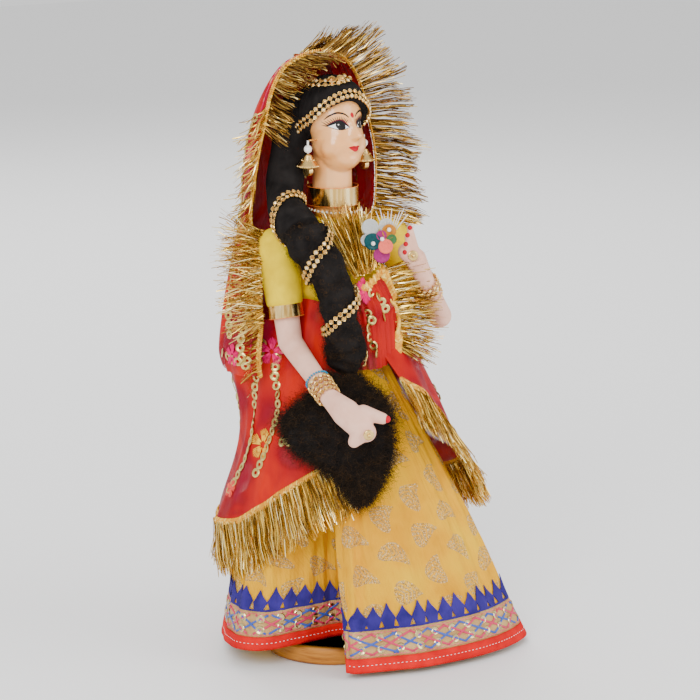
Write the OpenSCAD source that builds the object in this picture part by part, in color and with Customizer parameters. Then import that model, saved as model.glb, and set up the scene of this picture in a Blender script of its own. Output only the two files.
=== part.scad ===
// Standing Rajasthani costume doll on a round wooden foot.
// Millimetres. +Z is up, the doll faces -Y and its right side is -X.
// The origin is the centre of the foot's underside.

/* [Foot] */
// Radius of the round foot
foot_r = 41; // [38:0.5:46]
// Thickness of the foot
foot_t = 12; // [10:0.5:12.5]
// Radius of the dowel that carries the doll
rod_r = 3; // [2.5:0.1:3.2]

/* [Body] */
// Height of the skirt's waist
waist_z = 186; // [184:1:187]
// Radius of the skirt's waist
waist_r = 27; // [26.5:0.25:28]
// Height of the shoulder wire
shoulder_z = 252; // [250:0.5:253]
// Half the distance between the shoulder pivots
shoulder_x = 42.5; // [42.5:0.25:44]
// Radius of the neck
neck_r = 12.2; // [11:0.1:12.4]

/* [Head] */
// Radius of the moulded head
head_r = 18.2; // [17:0.1:18.4]
// Height of the head's centre
head_z = 325; // [324:0.5:326]
// Outer radius of the hair cap
hair_r = 21.4; // [21:0.1:21.8]

/* [Arms] */
// Outer radius of a sleeve at the shoulder
sleeve_r = 11.5; // [11:0.1:11.8]
// Length of a sleeve below the shoulder
sleeve_len = 33; // [30:0.5:35]
// Radius of the shoulder wire
wire_r = 1; // [0.8:0.05:1.2]

/* [Cloth] */
// Thickness of the skirt cloth
cloth_t = 1; // [0.8:0.1:1.2]
// Thickness of the veil solids
veil_t = 1.2; // [1:0.1:1.4]
// Thickness of a tinsel fringe solid
fringe_t = 1.6; // [1.2:0.1:1.8]

/* [Hidden] */
$fn = 48;
gap = 0.3;
fit = 0.06;
split_z = 270;
bore_depth = 9;
dowel_len = split_z + 18 - foot_t + bore_depth;
chest_x = shoulder_x - sleeve_r - 3;

// Arm pivots, wrists and hands
right_shoulder = [-shoulder_x, 0, shoulder_z];
left_shoulder = [shoulder_x, 0, shoulder_z];
right_elbow = [-41.5, -11, 197];
left_elbow = [61, -28, 202];
right_wrist = [-47, -53, 172];
left_wrist = [34.5, -44.5, 229];
right_fist = [-40, -72.5, 151];
left_palm = [25, -44.5, 244];
bead_r = 8;
elbow_ball_r = 7.2;
left_elbow_room = 18.5;
forearm_r = 6.6;
wrist_r = 5.2;

// Hem of the skirt: x, y, height and the waist angle each point hangs from.
// A deep fold opens at the front on the doll's right.
hem_points = [
    [-34, -58, 4, -122], [-16, -67, 4, -104], [10, -77, 4, -83],
    [47, -82, 4, -60], [80, -78, 4, -45], [100, -64, 4, -33],
    [102, -34, 5, -17], [92, 5, 6, 5], [70, 42, 6, 31], [35, 66, 6, 62],
    [-5, 74, 6, 94], [-37, 58, 8, 122], [-59, 32, 10, 150],
    [-71, 5, 12, 174], [-62, -12, 13, 190], [-30, -17, 13.5, 206],
    [-9, -21, 13.5, 218], [-14, -38, 13.5, 227], [-32, -53, 6, 234]
];
core_points = [
    [-16, -50, -120], [4, -60, -97], [40, -64, -62], [70, -60, -42],
    [82, -36, -24], [76, 2, 2], [56, 36, 32], [28, 54, 62], [-5, 60, 94],
    [-31, 48, 124], [-48, 24, 152], [-57, 6, 174], [-40, -3, 196],
    [-2, -11, 214], [-3, -30, 228]
];
// Torso sections: height, half width, half depth, centre y
torso_rows = [
    [178, 19, 16, 0], [188, 22, 18, 0], [205, 24, 20, -1],
    [222, 27, 23, -3], [232, 28, 24, -4], [244, 27.6, 20, -2],
    [254, 28, 16, 0], [261, 24, 14, 1], [266, 13, 12, 0]
];
// Hood sections: height, centre x and y, half width, half depth, arc ends
hood_rows = [
    [split_z + 0.6, -6, 16, 40, 38, -30, 178],
    [300, -5, 14, 38, 40, -26, 177], [322, -5, 12, 33, 38, -20, 175],
    [342, -5, 9, 28, 30, -14, 170], [355, -7, 5, 20, 21, -12, 166],
    [361.4, -7, 3, 10, 11, -10, 170], [363, -7, 3, 3, 3, -10, 170]
];
back_rows = [
    [191.5, -8, 22, 52, 36, 0, 188], [215, -8, 22, 49, 34, 0, 190],
    [254, -7, 19, 41, 35, -8, 182], [split_z - 0.6, -6, 17, 40, 37, -26, 179]
];
// Upper and lower edge of the veil round the hips
hip_top = [
    [8, -33, 190], [26, -25, 190], [38, -2, 190], [37, 24, 190],
    [16, 48, 190], [-12, 57, 190], [-40, 49, 190], [-57, 28, 190],
    [-48, 10, 190], [-32, -4, 190], [-28, -16, 190], [-19, -28, 190]
];
hip_hem = [
    [12, -47, 174], [31, -54, 160], [49, -49, 139], [66, -43, 121],
    [80, -18, 106], [74, 18, 96], [48, 52, 90], [8, 70, 86],
    [-34, 62, 84], [-60, 36, 84], [-64, 14, 88], [-59, -4, 99],
    [-46, -24, 116], [-20, -40, 133]
];
plait_path = [
    [-40, -24, 267, 9], [-41, -25, 261, 11], [-38, -29, 253, 9],
    [-34.5, -34, 245, 9.5], [-31, -37, 236, 8], [-29.5, -40, 224, 9.5],
    [-28.5, -41, 213, 8.5], [-25, -39, 204, 10], [-22.5, -38, 196, 11.2],
    [-23.5, -38, 188, 10.4], [-27, -38, 183, 7]
];
// Tuft sections: height, offset to the doll's left, distance out, half sizes
tuft_rows = [
    [112, -2, 55, 7, 4], [122, 2, 56, 18, 7], [134, 4, 56, 30, 9],
    [148, 4, 56, 36, 9.5], [160, 5, 55, 32, 8.5], [169, 7, 52, 20, 6.5],
    [178, 5, 49, 8, 5]
];

// ---------- curves ----------
function lerp(a, b, t) = a + (b - a) * t;
function spline(a, b, c, d, t) =
    (b * 2 + (c - a) * t + (a * 2 - b * 5 + c * 4 - d) * t * t
     + (b * 3 - a - c * 3 + d) * t * t * t) / 2;
function closed_at(p, u) =
    let (n = len(p), i = floor(u), t = u - i)
    spline(p[(i + n - 1) % n], p[i % n], p[(i + 1) % n], p[(i + 2) % n], t);
function open_at(p, u) =
    let (n = len(p), i = min(floor(u), n - 2), t = u - i)
    spline(p[max(i - 1, 0)], p[i], p[i + 1], p[min(i + 2, n - 1)], t);
function open_curve(p, n) =
    [for (k = [0 : n - 1]) open_at(p, (len(p) - 1) * k / (n - 1))];
// The last number of each point is an angle that closes with a whole turn
function closed_turn_at(p, u) =
    let (n = len(p), i = floor(u), t = u - i,
         a = p[(i + n - 1) % n], b = p[i % n],
         c = p[(i + 1) % n], d = p[(i + 2) % n],
         k = len(b) - 1,
         aa = i == 0 ? a[k] - 360 : a[k],
         cc = i == n - 1 ? c[k] + 360 : c[k],
         dd = i >= n - 2 ? d[k] + 360 : d[k],
         s = spline(a, b, c, d, t))
    [for (j = [0 : k]) j == k ? spline(aa, b[k], cc, dd, t) : s[j]];
function closed_turn(p, n) =
    [for (k = [0 : n - 1]) closed_turn_at(p, len(p) * k / n)];
function flat(rows) = [for (r = rows) for (p = r) p];
function unit(v) = v / norm(v);

// ---------- solids from sections ----------
// Rows run upwards and points run anticlockwise seen from above.
module loft(rows) {
    m = len(rows);
    k = len(rows[0]);
    side = [for (i = [0 : m - 2]) for (j = [0 : k - 1])
        let (a = i * k + j, b = i * k + (j + 1) % k)
        each [[a, a + k, b + k], [a, b + k, b]]];
    caps = [[for (j = [0 : k - 1]) j],
            [for (j = [k - 1 : -1 : 0]) (m - 1) * k + j]];
    polyhedron(flat(rows), concat(side, caps), convexity = 10);
}
// A cloth of two faces, front outside; closed runs all the way round.
module cloth(front, back, closed = false) {
    m = len(front);
    k = len(front[0]);
    o = m * k;
    last = closed ? k - 1 : k - 2;
    sides = [for (i = [0 : m - 2]) for (j = [0 : last])
        let (a = i * k + j, b = i * k + (j + 1) % k)
        each [[a, a + k, b + k], [a, b + k, b],
              [o + a, o + b + k, o + a + k], [o + a, o + b, o + b + k]]];
    rims = [for (j = [0 : last])
        let (a = j, b = (j + 1) % k, c = (m - 1) * k + j,
             d = (m - 1) * k + (j + 1) % k)
        each [[a, b, o + b], [a, o + b, o + a],
              [d, c, o + c], [d, o + c, o + d]]];
    ends = closed ? [] : [for (i = [0 : m - 2])
        let (a = i * k, b = (i + 1) * k,
             c = i * k + k - 1, d = (i + 1) * k + k - 1)
        each [[b, a, o + a], [b, o + a, o + b],
              [c, d, o + d], [c, o + d, o + c]]];
    polyhedron(concat(flat(front), flat(back)), concat(sides, rims, ends),
               convexity = 12);
}
// A tube along a path of [x, y, z, radius]
function tube_ring(c, t, r, sides, ref) =
    let (u = unit(cross(ref, t)), v = cross(t, u))
    [for (k = [0 : sides - 1])
        let (a = 360 * k / sides) c + u * r * cos(a) + v * r * sin(a)];
function xyz(p) = [p[0], p[1], p[2]];
module tube(path, sides = 8, ref = [0.3, 1, 0.2]) {
    n = len(path);
    loft([for (i = [0 : n - 1])
        let (t = unit(xyz(path[min(i + 1, n - 1)])
                      - xyz(path[max(i - 1, 0)])))
        tube_ring(xyz(path[i]), t, path[i][3], sides, ref)]);
}
// Moves each point of a level row outwards in plan
function push_row(row, d, closed) =
    let (n = len(row))
    [for (j = [0 : n - 1])
        let (a = row[closed ? (j + n - 1) % n : max(j - 1, 0)],
             b = row[closed ? (j + 1) % n : min(j + 1, n - 1)],
             t = unit([b[0] - a[0], b[1] - a[1]]))
        [row[j][0] + t[1] * d, row[j][1] - t[0] * d, row[j][2]]];
function push(rows, d, closed = false) =
    [for (r = rows) push_row(r, d, closed)];
function ellipse(z, cx, cy, rx, ry, n) =
    [for (k = [0 : n - 1])
        let (a = 360 * k / n) [cx + rx * cos(a), cy + ry * sin(a), z]];
function arc_row(r, n) =
    [for (k = [0 : n - 1])
        let (a = lerp(r[5], r[6], k / (n - 1)))
        [r[1] + r[3] * cos(a), r[2] + r[4] * sin(a), r[0]]];

// ---------- shared shapes ----------
// Stands a shape that is drawn along +Z on the line from a to b
module along(a, b) {
    d = b - a;
    translate(a)
        rotate([0, acos(d[2] / norm(d)), atan2(d[1], d[0])])
            children();
}
module limb(a, b, r1, r2) {
    along(a, b) cylinder(h = norm(b - a), r1 = r1, r2 = r2);
}
module ring_tube(r, t) {
    rotate_extrude() translate([r, 0]) circle(r = t, $fn = 24);
}
module band(r_in, r_out, h) {
    rotate_extrude()
        translate([r_in, 0]) square([r_out - r_in, h]);
}
function on_sphere(c, r, a, e) =
    c + r * [sin(a) * cos(e), -cos(a) * cos(e), sin(e)];

// ---------- foot ----------
module foot() {
    edge = 3;
    color("peru") difference() {
        rotate_extrude() {
            square([foot_r - edge, foot_t]);
            translate([0, edge]) square([foot_r, foot_t - 2 * edge]);
            translate([foot_r - edge, edge]) circle(r = edge);
            translate([foot_r - edge, foot_t - edge]) circle(r = edge);
        }
        translate([0, 0, foot_t - bore_depth])
            cylinder(h = bore_depth + 1, r = rod_r);
    }
}
module dowel() {
    color("burlywood") difference() {
        translate([0, 0, foot_t - bore_depth])
            cylinder(h = dowel_len, r = rod_r);
        translate([-rod_r - 1, 0, shoulder_z]) rotate([0, 90, 0])
            cylinder(h = 2 * rod_r + 2, r = wire_r);
    }
}

// ---------- skirt ----------
hem_n = 72;
hem_curve = closed_turn(hem_points, hem_n);
// A row of the skirt at fraction f of the way from hem to waist
function skirt_row(f) =
    [for (q = hem_curve)
        lerp([q[0], q[1], q[2]],
             [waist_r * cos(q[3]), waist_r * sin(q[3]), waist_z], f)];
function skirt_rows(f0, f1, n) =
    [for (i = [0 : n - 1]) skirt_row(lerp(f0, f1, i / (n - 1)))];
slant = 200;
binding_h = 9 / slant;
lace_h = 17.5 / slant;
zigzag_h = 15 / slant;
module trim_band(f0, f1, t) {
    rows = skirt_rows(f0, f1, 2);
    cloth(push(rows, gap + t, true), push(rows, gap, true), true);
}
module skirt() {
    rows = skirt_rows(0, 1, 6);
    color("goldenrod")
        cloth(rows, push(rows, -cloth_t, true), true);
}
module hem_binding() {
    color("crimson") trim_band(0.001, binding_h, 1);
}
module mirror_lace() {
    color("tan") trim_band(binding_h + 0.002, binding_h + lace_h, 0.7);
}
module zigzag_band() {
    color("darkslateblue")
        trim_band(binding_h + lace_h + 0.002,
                  binding_h + lace_h + zigzag_h, 0.6);
}
module skirt_core() {
    n = 45;
    top_z = 176;
    low_z = foot_t + 1;
    top_r = 20;
    ring = closed_turn(core_points, n);
    color("ivory")
        loft([for (f = [0, 0.5, 1])
            [for (q = ring)
                lerp([q[0], q[1], low_z],
                     [top_r * cos(q[2]), top_r * sin(q[2]), top_z], f)]]);
}
module waistband() {
    color("darkorange")
        translate([0, 0, waist_z + gap])
            band(waist_r - 2.2, waist_r + 1, 3);
}

// ---------- bodice ----------
function torso_ring(r, d, n) =
    ellipse(r[0], 0, r[3], min(r[1], chest_x) + d, r[2] + d, n);
module torso() {
    color("wheat")
        loft([for (r = open_curve(torso_rows, 13)) torso_ring(r, 0, 28)]);
}
module blouse() {
    rows = [for (r = open_curve(torso_rows, 13)) if (r[0] > 191) r];
    color("gold")
        cloth([for (r = rows) torso_ring(r, gap + 1, 28)],
              [for (r = rows) torso_ring(r, gap, 28)], true);
}
module shoulder_wire() {
    color("dimgray")
        translate([-shoulder_x - 4, 0, shoulder_z])
            rotate([0, 90, 0])
                cylinder(h = 2 * shoulder_x + 8, r = wire_r);
}
module collar_band() {
    color("gold")
        translate([0, 0, split_z + 3.5]) band(neck_r + 0.8, neck_r + 3.2, 11);
}
module necklace() {
    color("gold") translate([0, 0, split_z + 0.5]) ring_tube(17.6, 1);
}
module bib_fringe() {
    rows = [
        [[-18, -29, 228], [-9, -34, 235], [5, -34, 245]],
        [[-26, -22, 248], [-12, -29, 252], [3, -27, 256]],
        [[-30, -14, 262], [-15, -19, 267], [0, -21, 268]]
    ];
    color("goldenrod") cloth(push(rows, fringe_t), rows);
}
module sash() {
    rows = [
        [[-9, -29, 192], [3, -33, 192], [18, -30, 192]],
        [[-9, -29, 203], [4, -34, 204], [21, -30, 204]],
        [[-10, -30, 214], [2, -34, 218], [16, -31, 220]],
        [[-10, -31, 222], [-3, -34, 229], [5, -34, 236]]
    ];
    fine = [for (r = open_curve(rows, 7)) open_curve(r, 7)];
    color("orangered") cloth(push(fine, veil_t), fine);
}
module sash_braid() {
    route = [[21, -33.5, 192, 1.6], [25.5, -31.5, 200, 1.6],
             [24, -32.5, 212, 1.6], [19, -33.5, 224, 1.6], [10, -37.5, 235, 1.6]];
    color("orange") tube(open_curve(route, 14));
}
module sash_flower() {
    color("deeppink") translate([-12, -42, 236]) sphere(r = 5.5);
}
module sash_fringe() {
    rows = [
        [[27, -33, 192], [37, -37, 191]], [[28.5, -32, 202], [36, -36, 201]],
        [[27, -33, 212], [33, -36.5, 211]], [[22, -35, 224], [27, -37, 223]]
    ];
    fine = open_curve(rows, 9);
    color("goldenrod") cloth(push(fine, fringe_t), fine);
}

// ---------- veil ----------
module veil_sheet(rows, m, n) {
    fine = [for (r = open_curve(rows, m)) arc_row(r, n)];
    cloth(fine, push(fine, -veil_t));
}
module veil_hood() {
    color("crimson") veil_sheet(hood_rows, 12, 25);
}
module veil_back() {
    color("crimson") veil_sheet(back_rows, 7, 25);
}
hip_n = 40;
hip_rows = [for (f = [0, 0.33, 0.66, 1])
    let (a = open_curve(hip_hem, hip_n), b = open_curve(hip_top, hip_n))
    [for (j = [0 : hip_n - 1]) lerp(a[j], b[j], f)]];
module veil_hips() {
    color("crimson") cloth(hip_rows, push(hip_rows, -veil_t));
}
module veil_hem_braid() {
    route = push_row(hip_rows[0], -0.6, false);
    color("orange")
        tube([for (p = route) [p[0], p[1], p[2] - 2, 1.4]], 8,
             [0.1, 0.1, 1]);
}
// A fringe hangs from part of the hip hem to a row of tips
module hem_fringe(root, tips, n) {
    rows = [open_curve(tips, n), open_curve(root, n)];
    color("goldenrod") cloth(push(rows, fringe_t), rows);
}
module hem_fringe_right() {
    hem_fringe(
        [[-63, 22, 83], [-62.5, 12, 84.5], [-57.5, -5, 95], [-46, -23, 111],
         [-22, -39, 128]],
        [[-71, 22, 54], [-71, 10, 56], [-67, -9, 66], [-51, -30, 80],
         [-25, -50, 100]], 13);
}
module hem_fringe_left() {
    hem_fringe(
        [[14, -46, 169], [31, -52.5, 156], [48, -48, 135], [64, -42, 117],
         [77, -18, 102]],
        [[13, -47, 148], [33, -56, 131], [56, -55, 110], [79, -52, 94],
         [90, -22, 80]], 13);
}

// ---------- plait ----------
module plait() {
    color("black") tube(open_curve(plait_path, 25), 12);
}
// Tuft sections are turned to lie across the doll's right front
tuft_turn = -40;
function tuft_ring(r, n) =
    [for (k = [0 : n - 1])
        let (a = 360 * k / n,
             s = r[1] + r[3] * cos(a), d = -r[2] + r[4] * sin(a))
        [s * cos(tuft_turn) - d * sin(tuft_turn),
         s * sin(tuft_turn) + d * cos(tuft_turn), r[0]]];
module plait_tuft() {
    color("black")
        loft([for (r = open_curve(tuft_rows, 11)) tuft_ring(r, 20)]);
}
module plait_chain() {
    turns = 2.6;
    n = 54;
    path = [for (k = [0 : n])
        let (u = lerp(1, 9, k / n), p = open_at(plait_path, u),
             a = 360 * turns * k / n + 200)
        [p[0] + (p[3] + 1.7) * cos(a), p[1] + (p[3] + 1.7) * sin(a), p[2],
         1]];
    color("gold") tube(path, 6, [0, 0.15, 1]);
}

// ---------- head ----------
hair_c = [0, 1, head_z + 3];
module neck() {
    color("sandybrown") difference() {
        translate([0, 0, split_z + 2.6]) cylinder(h = 24, r = neck_r);
        translate([0, 0, split_z]) cylinder(h = 21, r = rod_r + fit);
    }
}
module head() {
    color("sandybrown") {
        translate([0, 0, head_z]) sphere(r = head_r);
        translate([0, -5.5, head_z - 16]) sphere(r = 12.5);
        translate([0, -18, head_z - 8]) rotate([60, 0, 0])
            cylinder(h = 8, r1 = 4, r2 = 1.6);
    }
}
module hair_cap() {
    color("black") difference() {
        translate(hair_c) sphere(r = hair_r);
        translate([0, 0, head_z]) sphere(r = head_r + gap);
        translate([0, -20, head_z - 10]) sphere(r = 19);
        translate([-30, -30, head_z - 32]) cube([60, 60, 20]);
    }
}
module hair_back() {
    color("black") difference() {
        union() {
            translate([-13, 18, 308]) sphere(r = 12.5);
            translate([-23, 19, 292]) sphere(r = 13);
            translate([-28, 12, 280]) sphere(r = 9);
        }
        translate([0, 0, split_z - 9]) cylinder(h = 29, r = 19.5);
        translate([-60, -40, split_z - 20]) cube([100, 80, 20.6]);
        translate(hair_c) sphere(r = hair_r + gap);
        translate([0, 0, head_z]) sphere(r = head_r + gap);
    }
}
module head_chain(points) {
    color("gold")
        tube([for (p = points) [p[0], p[1], p[2], 0.9]], 6, [0.1, 1, 0.3]);
}
module forehead_chain() {
    head_chain([for (a = [-100 : 10 : 100])
        on_sphere(hair_c, hair_r + 1.6, a, 8 + 28 * cos(a * 1.6))]);
}
module crown_chain() {
    head_chain([for (a = [-140 : 14 : 70])
        on_sphere(hair_c, hair_r + 1.6, a, 58)]);
}
hood_edge_n = 9;
module hood_fringe() {
    rows = open_curve(hood_rows, hood_edge_n);
    near = [for (r = rows) arc_row(r, 3)[2]];
    far = [for (r = rows) arc_row(r, 3)[0]];
    root = concat([for (i = [0 : hood_edge_n - 1]) near[i]],
                  [for (i = [hood_edge_n - 1 : -1 : 0]) far[i]]);
    n = len(root);
    top = n / 2 - 0.5;
    lean = [for (i = [0 : n - 1])
        let (s = (i - top) / top, rise = pow(1 - abs(s), 2))
        unit([sign(s) * (0.95 - rise), -0.7 + 0.3 * rise, 1.6 * rise])];
    reach = 22;
    base = [for (i = [0 : n - 1]) root[i] + lean[i] * 1.2];
    tips = [for (i = [0 : n - 1]) root[i] + lean[i] * reach];
    back = [0, fringe_t, 0];
    color("goldenrod")
        cloth([base, tips],
              [[for (p = base) p + back], [for (p = tips) p + back]]);
}

// ---------- earrings ----------
ear_x = 21.5;
ear_y = -3.5;
ear_z = 313;
module ear_at(side) {
    translate([side * ear_x, ear_y, ear_z]) children();
}
module ear_pearl(side) {
    color("ghostwhite") ear_at(side) {
        translate([0, 0, -5]) sphere(r = 2.4);
        translate([0, 0, -7.5]) cylinder(h = 7.5, r = 0.6);
    }
}
module ear_bell(side) {
    profile = [[0.8, -8], [2.2, -8.6], [3.4, -11], [6.2, -14.4],
               [6.2, -15.4], [5.2, -15.4], [2.6, -11.8], [0.8, -10]];
    color("goldenrod") ear_at(side) rotate_extrude() polygon(profile);
}
module ear_drum(side) {
    color("goldenrod") ear_at(side) {
        translate([0, 0, -17.8]) rotate([0, 90, 0])
            translate([0, 0, -1.4]) cylinder(h = 2.8, r = 3);
        translate([0, 0, -15.5]) cylinder(h = 3.2, r = 0.5);
    }
}
module ear_hooks() {
    hook_in = 12;
    color("goldenrod")
        for (side = [-1, 1])
            translate([side * (hook_in + ear_x - 0.9) / 2, ear_y, ear_z])
                rotate([0, 90, 0])
                    cylinder(h = ear_x - 0.9 - hook_in, r = 0.5,
                             center = true);
}
module right_ear_pearl() { ear_pearl(-1); }
module right_ear_bell() { ear_bell(-1); }
module right_ear_drum() { ear_drum(-1); }
module left_ear_pearl() { ear_pearl(1); }
module left_ear_bell() { ear_bell(1); }
module left_ear_drum() { ear_drum(1); }

// ---------- arms ----------
// The wire ends in a ball that the forearm turns on
wire_ball_r = 2;
module arm_wire(shoulder, elbow) {
    color("dimgray") difference() {
        union() {
            translate(shoulder) sphere(r = bead_r);
            limb(shoulder, elbow, 0.8, 0.8);
            translate(elbow) sphere(r = wire_ball_r);
        }
        translate(shoulder - [20, 0, 0]) rotate([0, 90, 0])
            cylinder(h = 40, r = wire_r + fit);
    }
}
// The stuffed upper arm stops short of the elbow by room
module upper_arm(shoulder, elbow, room) {
    l = norm(elbow - shoulder);
    color("mistyrose") along(shoulder, elbow) difference() {
        translate([0, 0, 6])
            cylinder(h = l - 6 - room, r1 = 8.6, r2 = 7.4);
        sphere(r = bead_r + gap);
        cylinder(h = l, r = 0.8 + gap);
    }
}
// Half outline of a sleeve: a round shoulder, then a straight taper
function sleeve_side(r, end_r, reach) =
    concat([for (a = [-90 : 10 : 0]) r * [cos(a), sin(a)]],
           [[end_r, reach]]);
function reversed(p) = [for (i = [len(p) - 1 : -1 : 0]) p[i]];
module sleeve(shoulder, elbow) {
    wall = 1.2;
    end_r = 10.4;
    wire_hole_r = 2.5;
    color("gold") difference() {
        along(shoulder, elbow) rotate_extrude()
            polygon(concat(
                sleeve_side(sleeve_r, end_r, sleeve_len),
                reversed(sleeve_side(sleeve_r - wall, end_r - wall,
                                     sleeve_len))));
        translate(shoulder - [20, 0, 0]) rotate([0, 90, 0])
            cylinder(h = 40, r = wire_hole_r);
    }
}
module armband(shoulder, elbow) {
    color("gold") along(shoulder, elbow)
        translate([0, 0, sleeve_len + gap]) band(8.8, 10.2, 8);
}
module forearm(shoulder, elbow, wrist) {
    color("mistyrose") difference() {
        union() {
            translate(elbow) sphere(r = elbow_ball_r);
            limb(elbow, wrist, forearm_r, wrist_r);
        }
        translate(elbow) sphere(r = wire_ball_r + 0.05);
        along(elbow, shoulder) cylinder(h = 9, r1 = 1.6, r2 = 4.2);
    }
}
module bracelets(elbow, wrist) {
    l = norm(wrist - elbow);
    color("goldenrod") along(elbow, wrist)
        for (k = [0 : 3])
            translate([0, 0, l - 3 - 3.4 * k]) ring_tube(7.6, 1.2);
}
hand_fn = 16;
module finger(a, b, r) {
    hull() {
        translate(a) sphere(r = r, $fn = hand_fn);
        translate(b) sphere(r = r * 0.8, $fn = hand_fn);
    }
}
module palm(wrist, centre, r) {
    hull() {
        translate(wrist + unit(centre - wrist) * (wrist_r + 0.9))
            sphere(r = wrist_r, $fn = hand_fn);
        translate(centre) sphere(r = r, $fn = hand_fn);
    }
}
module right_arm_wire() { arm_wire(right_shoulder, right_elbow); }
module right_upper_arm() {
    upper_arm(right_shoulder, right_elbow, elbow_ball_r + 0.5);
}
module right_sleeve() { sleeve(right_shoulder, right_elbow); }
module right_armband() { armband(right_shoulder, right_elbow); }
module right_forearm() {
    forearm(right_shoulder, right_elbow, right_wrist);
}
module right_bracelets() { bracelets(right_elbow, right_wrist); }
module right_hand() {
    color("mistyrose") {
        palm(right_wrist, right_fist, 7.4);
        finger(right_fist + [3, -3, 5], [-28.5, -83, 160], 2.8);
    }
}
module right_ring() {
    color("gold") translate(right_fist) rotate([50, 0, -40])
        translate([0, 0, 7.6]) cylinder(h = 1, r = 3);
}
module left_arm_wire() { arm_wire(left_shoulder, left_elbow); }
module left_upper_arm() {
    upper_arm(left_shoulder, left_elbow, left_elbow_room);
}
module left_sleeve() { sleeve(left_shoulder, left_elbow); }
module left_armband() { armband(left_shoulder, left_elbow); }
module left_forearm() { forearm(left_shoulder, left_elbow, left_wrist); }
module left_bracelets() { bracelets(left_elbow, left_wrist); }
finger_tips = [[21, -45, 262], [18, -46.5, 258], [16, -47.5, 252]];
module left_hand() {
    color("mistyrose") {
        palm(left_wrist, left_palm, 6.6);
        for (t = finger_tips) finger(left_palm, t, 3);
    }
}
module left_ring() {
    color("gold") translate(left_palm) rotate([90, 0, -40])
        translate([0, 0, 6.8]) cylinder(h = 1, r = 2.6);
}

// ---------- bouquet ----------
bouquet_c = [6, -40, 252];
module bouquet_discs() {
    disc_r = 4.2;
    color("white")
        for (k = [0 : 7])
            let (a = 360 * k / 8)
            translate(bouquet_c + [6 * cos(a), -2 - (k % 2) * 1.6,
                                   7 * sin(a)])
                rotate([90, 0, 0]) cylinder(h = 0.6, r = disc_r);
}
module bouquet_stem() {
    color("goldenrod")
        limb([13, -43.5, 246], [4, -40, 257], 0.8, 0.8);
}

foot();
dowel();
skirt_core();
skirt();
hem_binding();
mirror_lace();
zigzag_band();
torso();
blouse();
waistband();
shoulder_wire();
collar_band();
necklace();
bib_fringe();
sash();
sash_braid();
sash_flower();
sash_fringe();
veil_back();
veil_hips();
veil_hem_braid();
hem_fringe_right();
hem_fringe_left();
plait();
plait_tuft();
plait_chain();
neck();
head();
hair_cap();
hair_back();
forehead_chain();
crown_chain();
veil_hood();
hood_fringe();
right_ear_pearl();
right_ear_bell();
right_ear_drum();
left_ear_pearl();
left_ear_bell();
left_ear_drum();
ear_hooks();
right_arm_wire();
right_upper_arm();
right_sleeve();
right_armband();
right_forearm();
right_hand();
right_bracelets();
right_ring();
left_arm_wire();
left_upper_arm();
left_sleeve();
left_armband();
left_forearm();
left_hand();
left_bracelets();
left_ring();
bouquet_discs();
bouquet_stem();
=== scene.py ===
import math
import random

import bpy
import numpy as np
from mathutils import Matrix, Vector
from mathutils.bvhtree import BVHTree


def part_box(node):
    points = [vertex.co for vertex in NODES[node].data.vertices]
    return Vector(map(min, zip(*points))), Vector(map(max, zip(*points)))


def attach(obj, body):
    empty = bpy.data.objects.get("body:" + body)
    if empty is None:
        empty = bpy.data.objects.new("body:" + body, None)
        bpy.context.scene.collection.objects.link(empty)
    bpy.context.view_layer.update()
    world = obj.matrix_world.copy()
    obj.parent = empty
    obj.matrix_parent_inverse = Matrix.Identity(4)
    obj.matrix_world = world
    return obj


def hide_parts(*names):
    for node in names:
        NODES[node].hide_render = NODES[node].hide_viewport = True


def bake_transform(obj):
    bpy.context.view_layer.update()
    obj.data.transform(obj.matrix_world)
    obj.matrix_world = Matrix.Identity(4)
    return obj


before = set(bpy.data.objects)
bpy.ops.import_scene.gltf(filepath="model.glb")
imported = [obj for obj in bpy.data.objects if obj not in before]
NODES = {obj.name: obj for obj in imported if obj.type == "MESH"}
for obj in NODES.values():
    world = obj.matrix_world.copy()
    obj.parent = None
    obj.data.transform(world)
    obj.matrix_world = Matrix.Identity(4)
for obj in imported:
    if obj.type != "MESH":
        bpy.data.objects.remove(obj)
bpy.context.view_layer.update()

# Rajasthani costume doll on a round wooden foot.
# Lengths are millimetres until a mesh is made, and metres after that.
# The doll faces -Y, its right side is -X and +Z is up.
MM = 0.001


# ---------- camera, floor and light ----------
# The lens and sensor in millimetres, and half the floor's width in metres
LENS, SENSOR = 140.55, 36
FLOOR_HALF = 4.0


def linked(name, data):
    """A new object in the scene."""
    obj = bpy.data.objects.new(name, data)
    bpy.context.scene.collection.objects.link(obj)
    return obj


def aim(obj, place, target):
    obj.location = Vector(place) * MM
    way = Vector(target) * MM - obj.location
    obj.rotation_euler = way.to_track_quat("-Z", "Y").to_euler()


def camera():
    data = bpy.data.cameras.new("camera")
    data.lens = LENS
    data.sensor_width = SENSOR
    data.clip_start = 0.05
    data.clip_end = 20
    obj = linked("camera", data)
    aim(obj, (-1028.5, -1225.7, 525), (8.0, -6.7, 184.7))
    bpy.context.scene.camera = obj


def softbox(name, place, size, watts):
    data = bpy.data.lights.new(name, "AREA")
    data.shape = "RECTANGLE"
    data.size, data.size_y = size
    data.energy = watts
    aim(linked(name, data), place, (0, 0, 180))


def studio():
    softbox("key_light", (-1500, -1100, 1300), (1.1, 1.1), 38)
    softbox("fill_light", (900, -1700, 900), (1.4, 1.4), 22)
    softbox("rim_light", (700, 1500, 1500), (1.2, 1.2), 24)
    world = bpy.data.worlds.new("studio")
    world.use_nodes = True
    shade = world.node_tree.nodes["Background"]
    shade.inputs["Color"].default_value = (1, 1, 1, 1)
    shade.inputs["Strength"].default_value = 1.0
    bpy.context.scene.world = world


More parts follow.
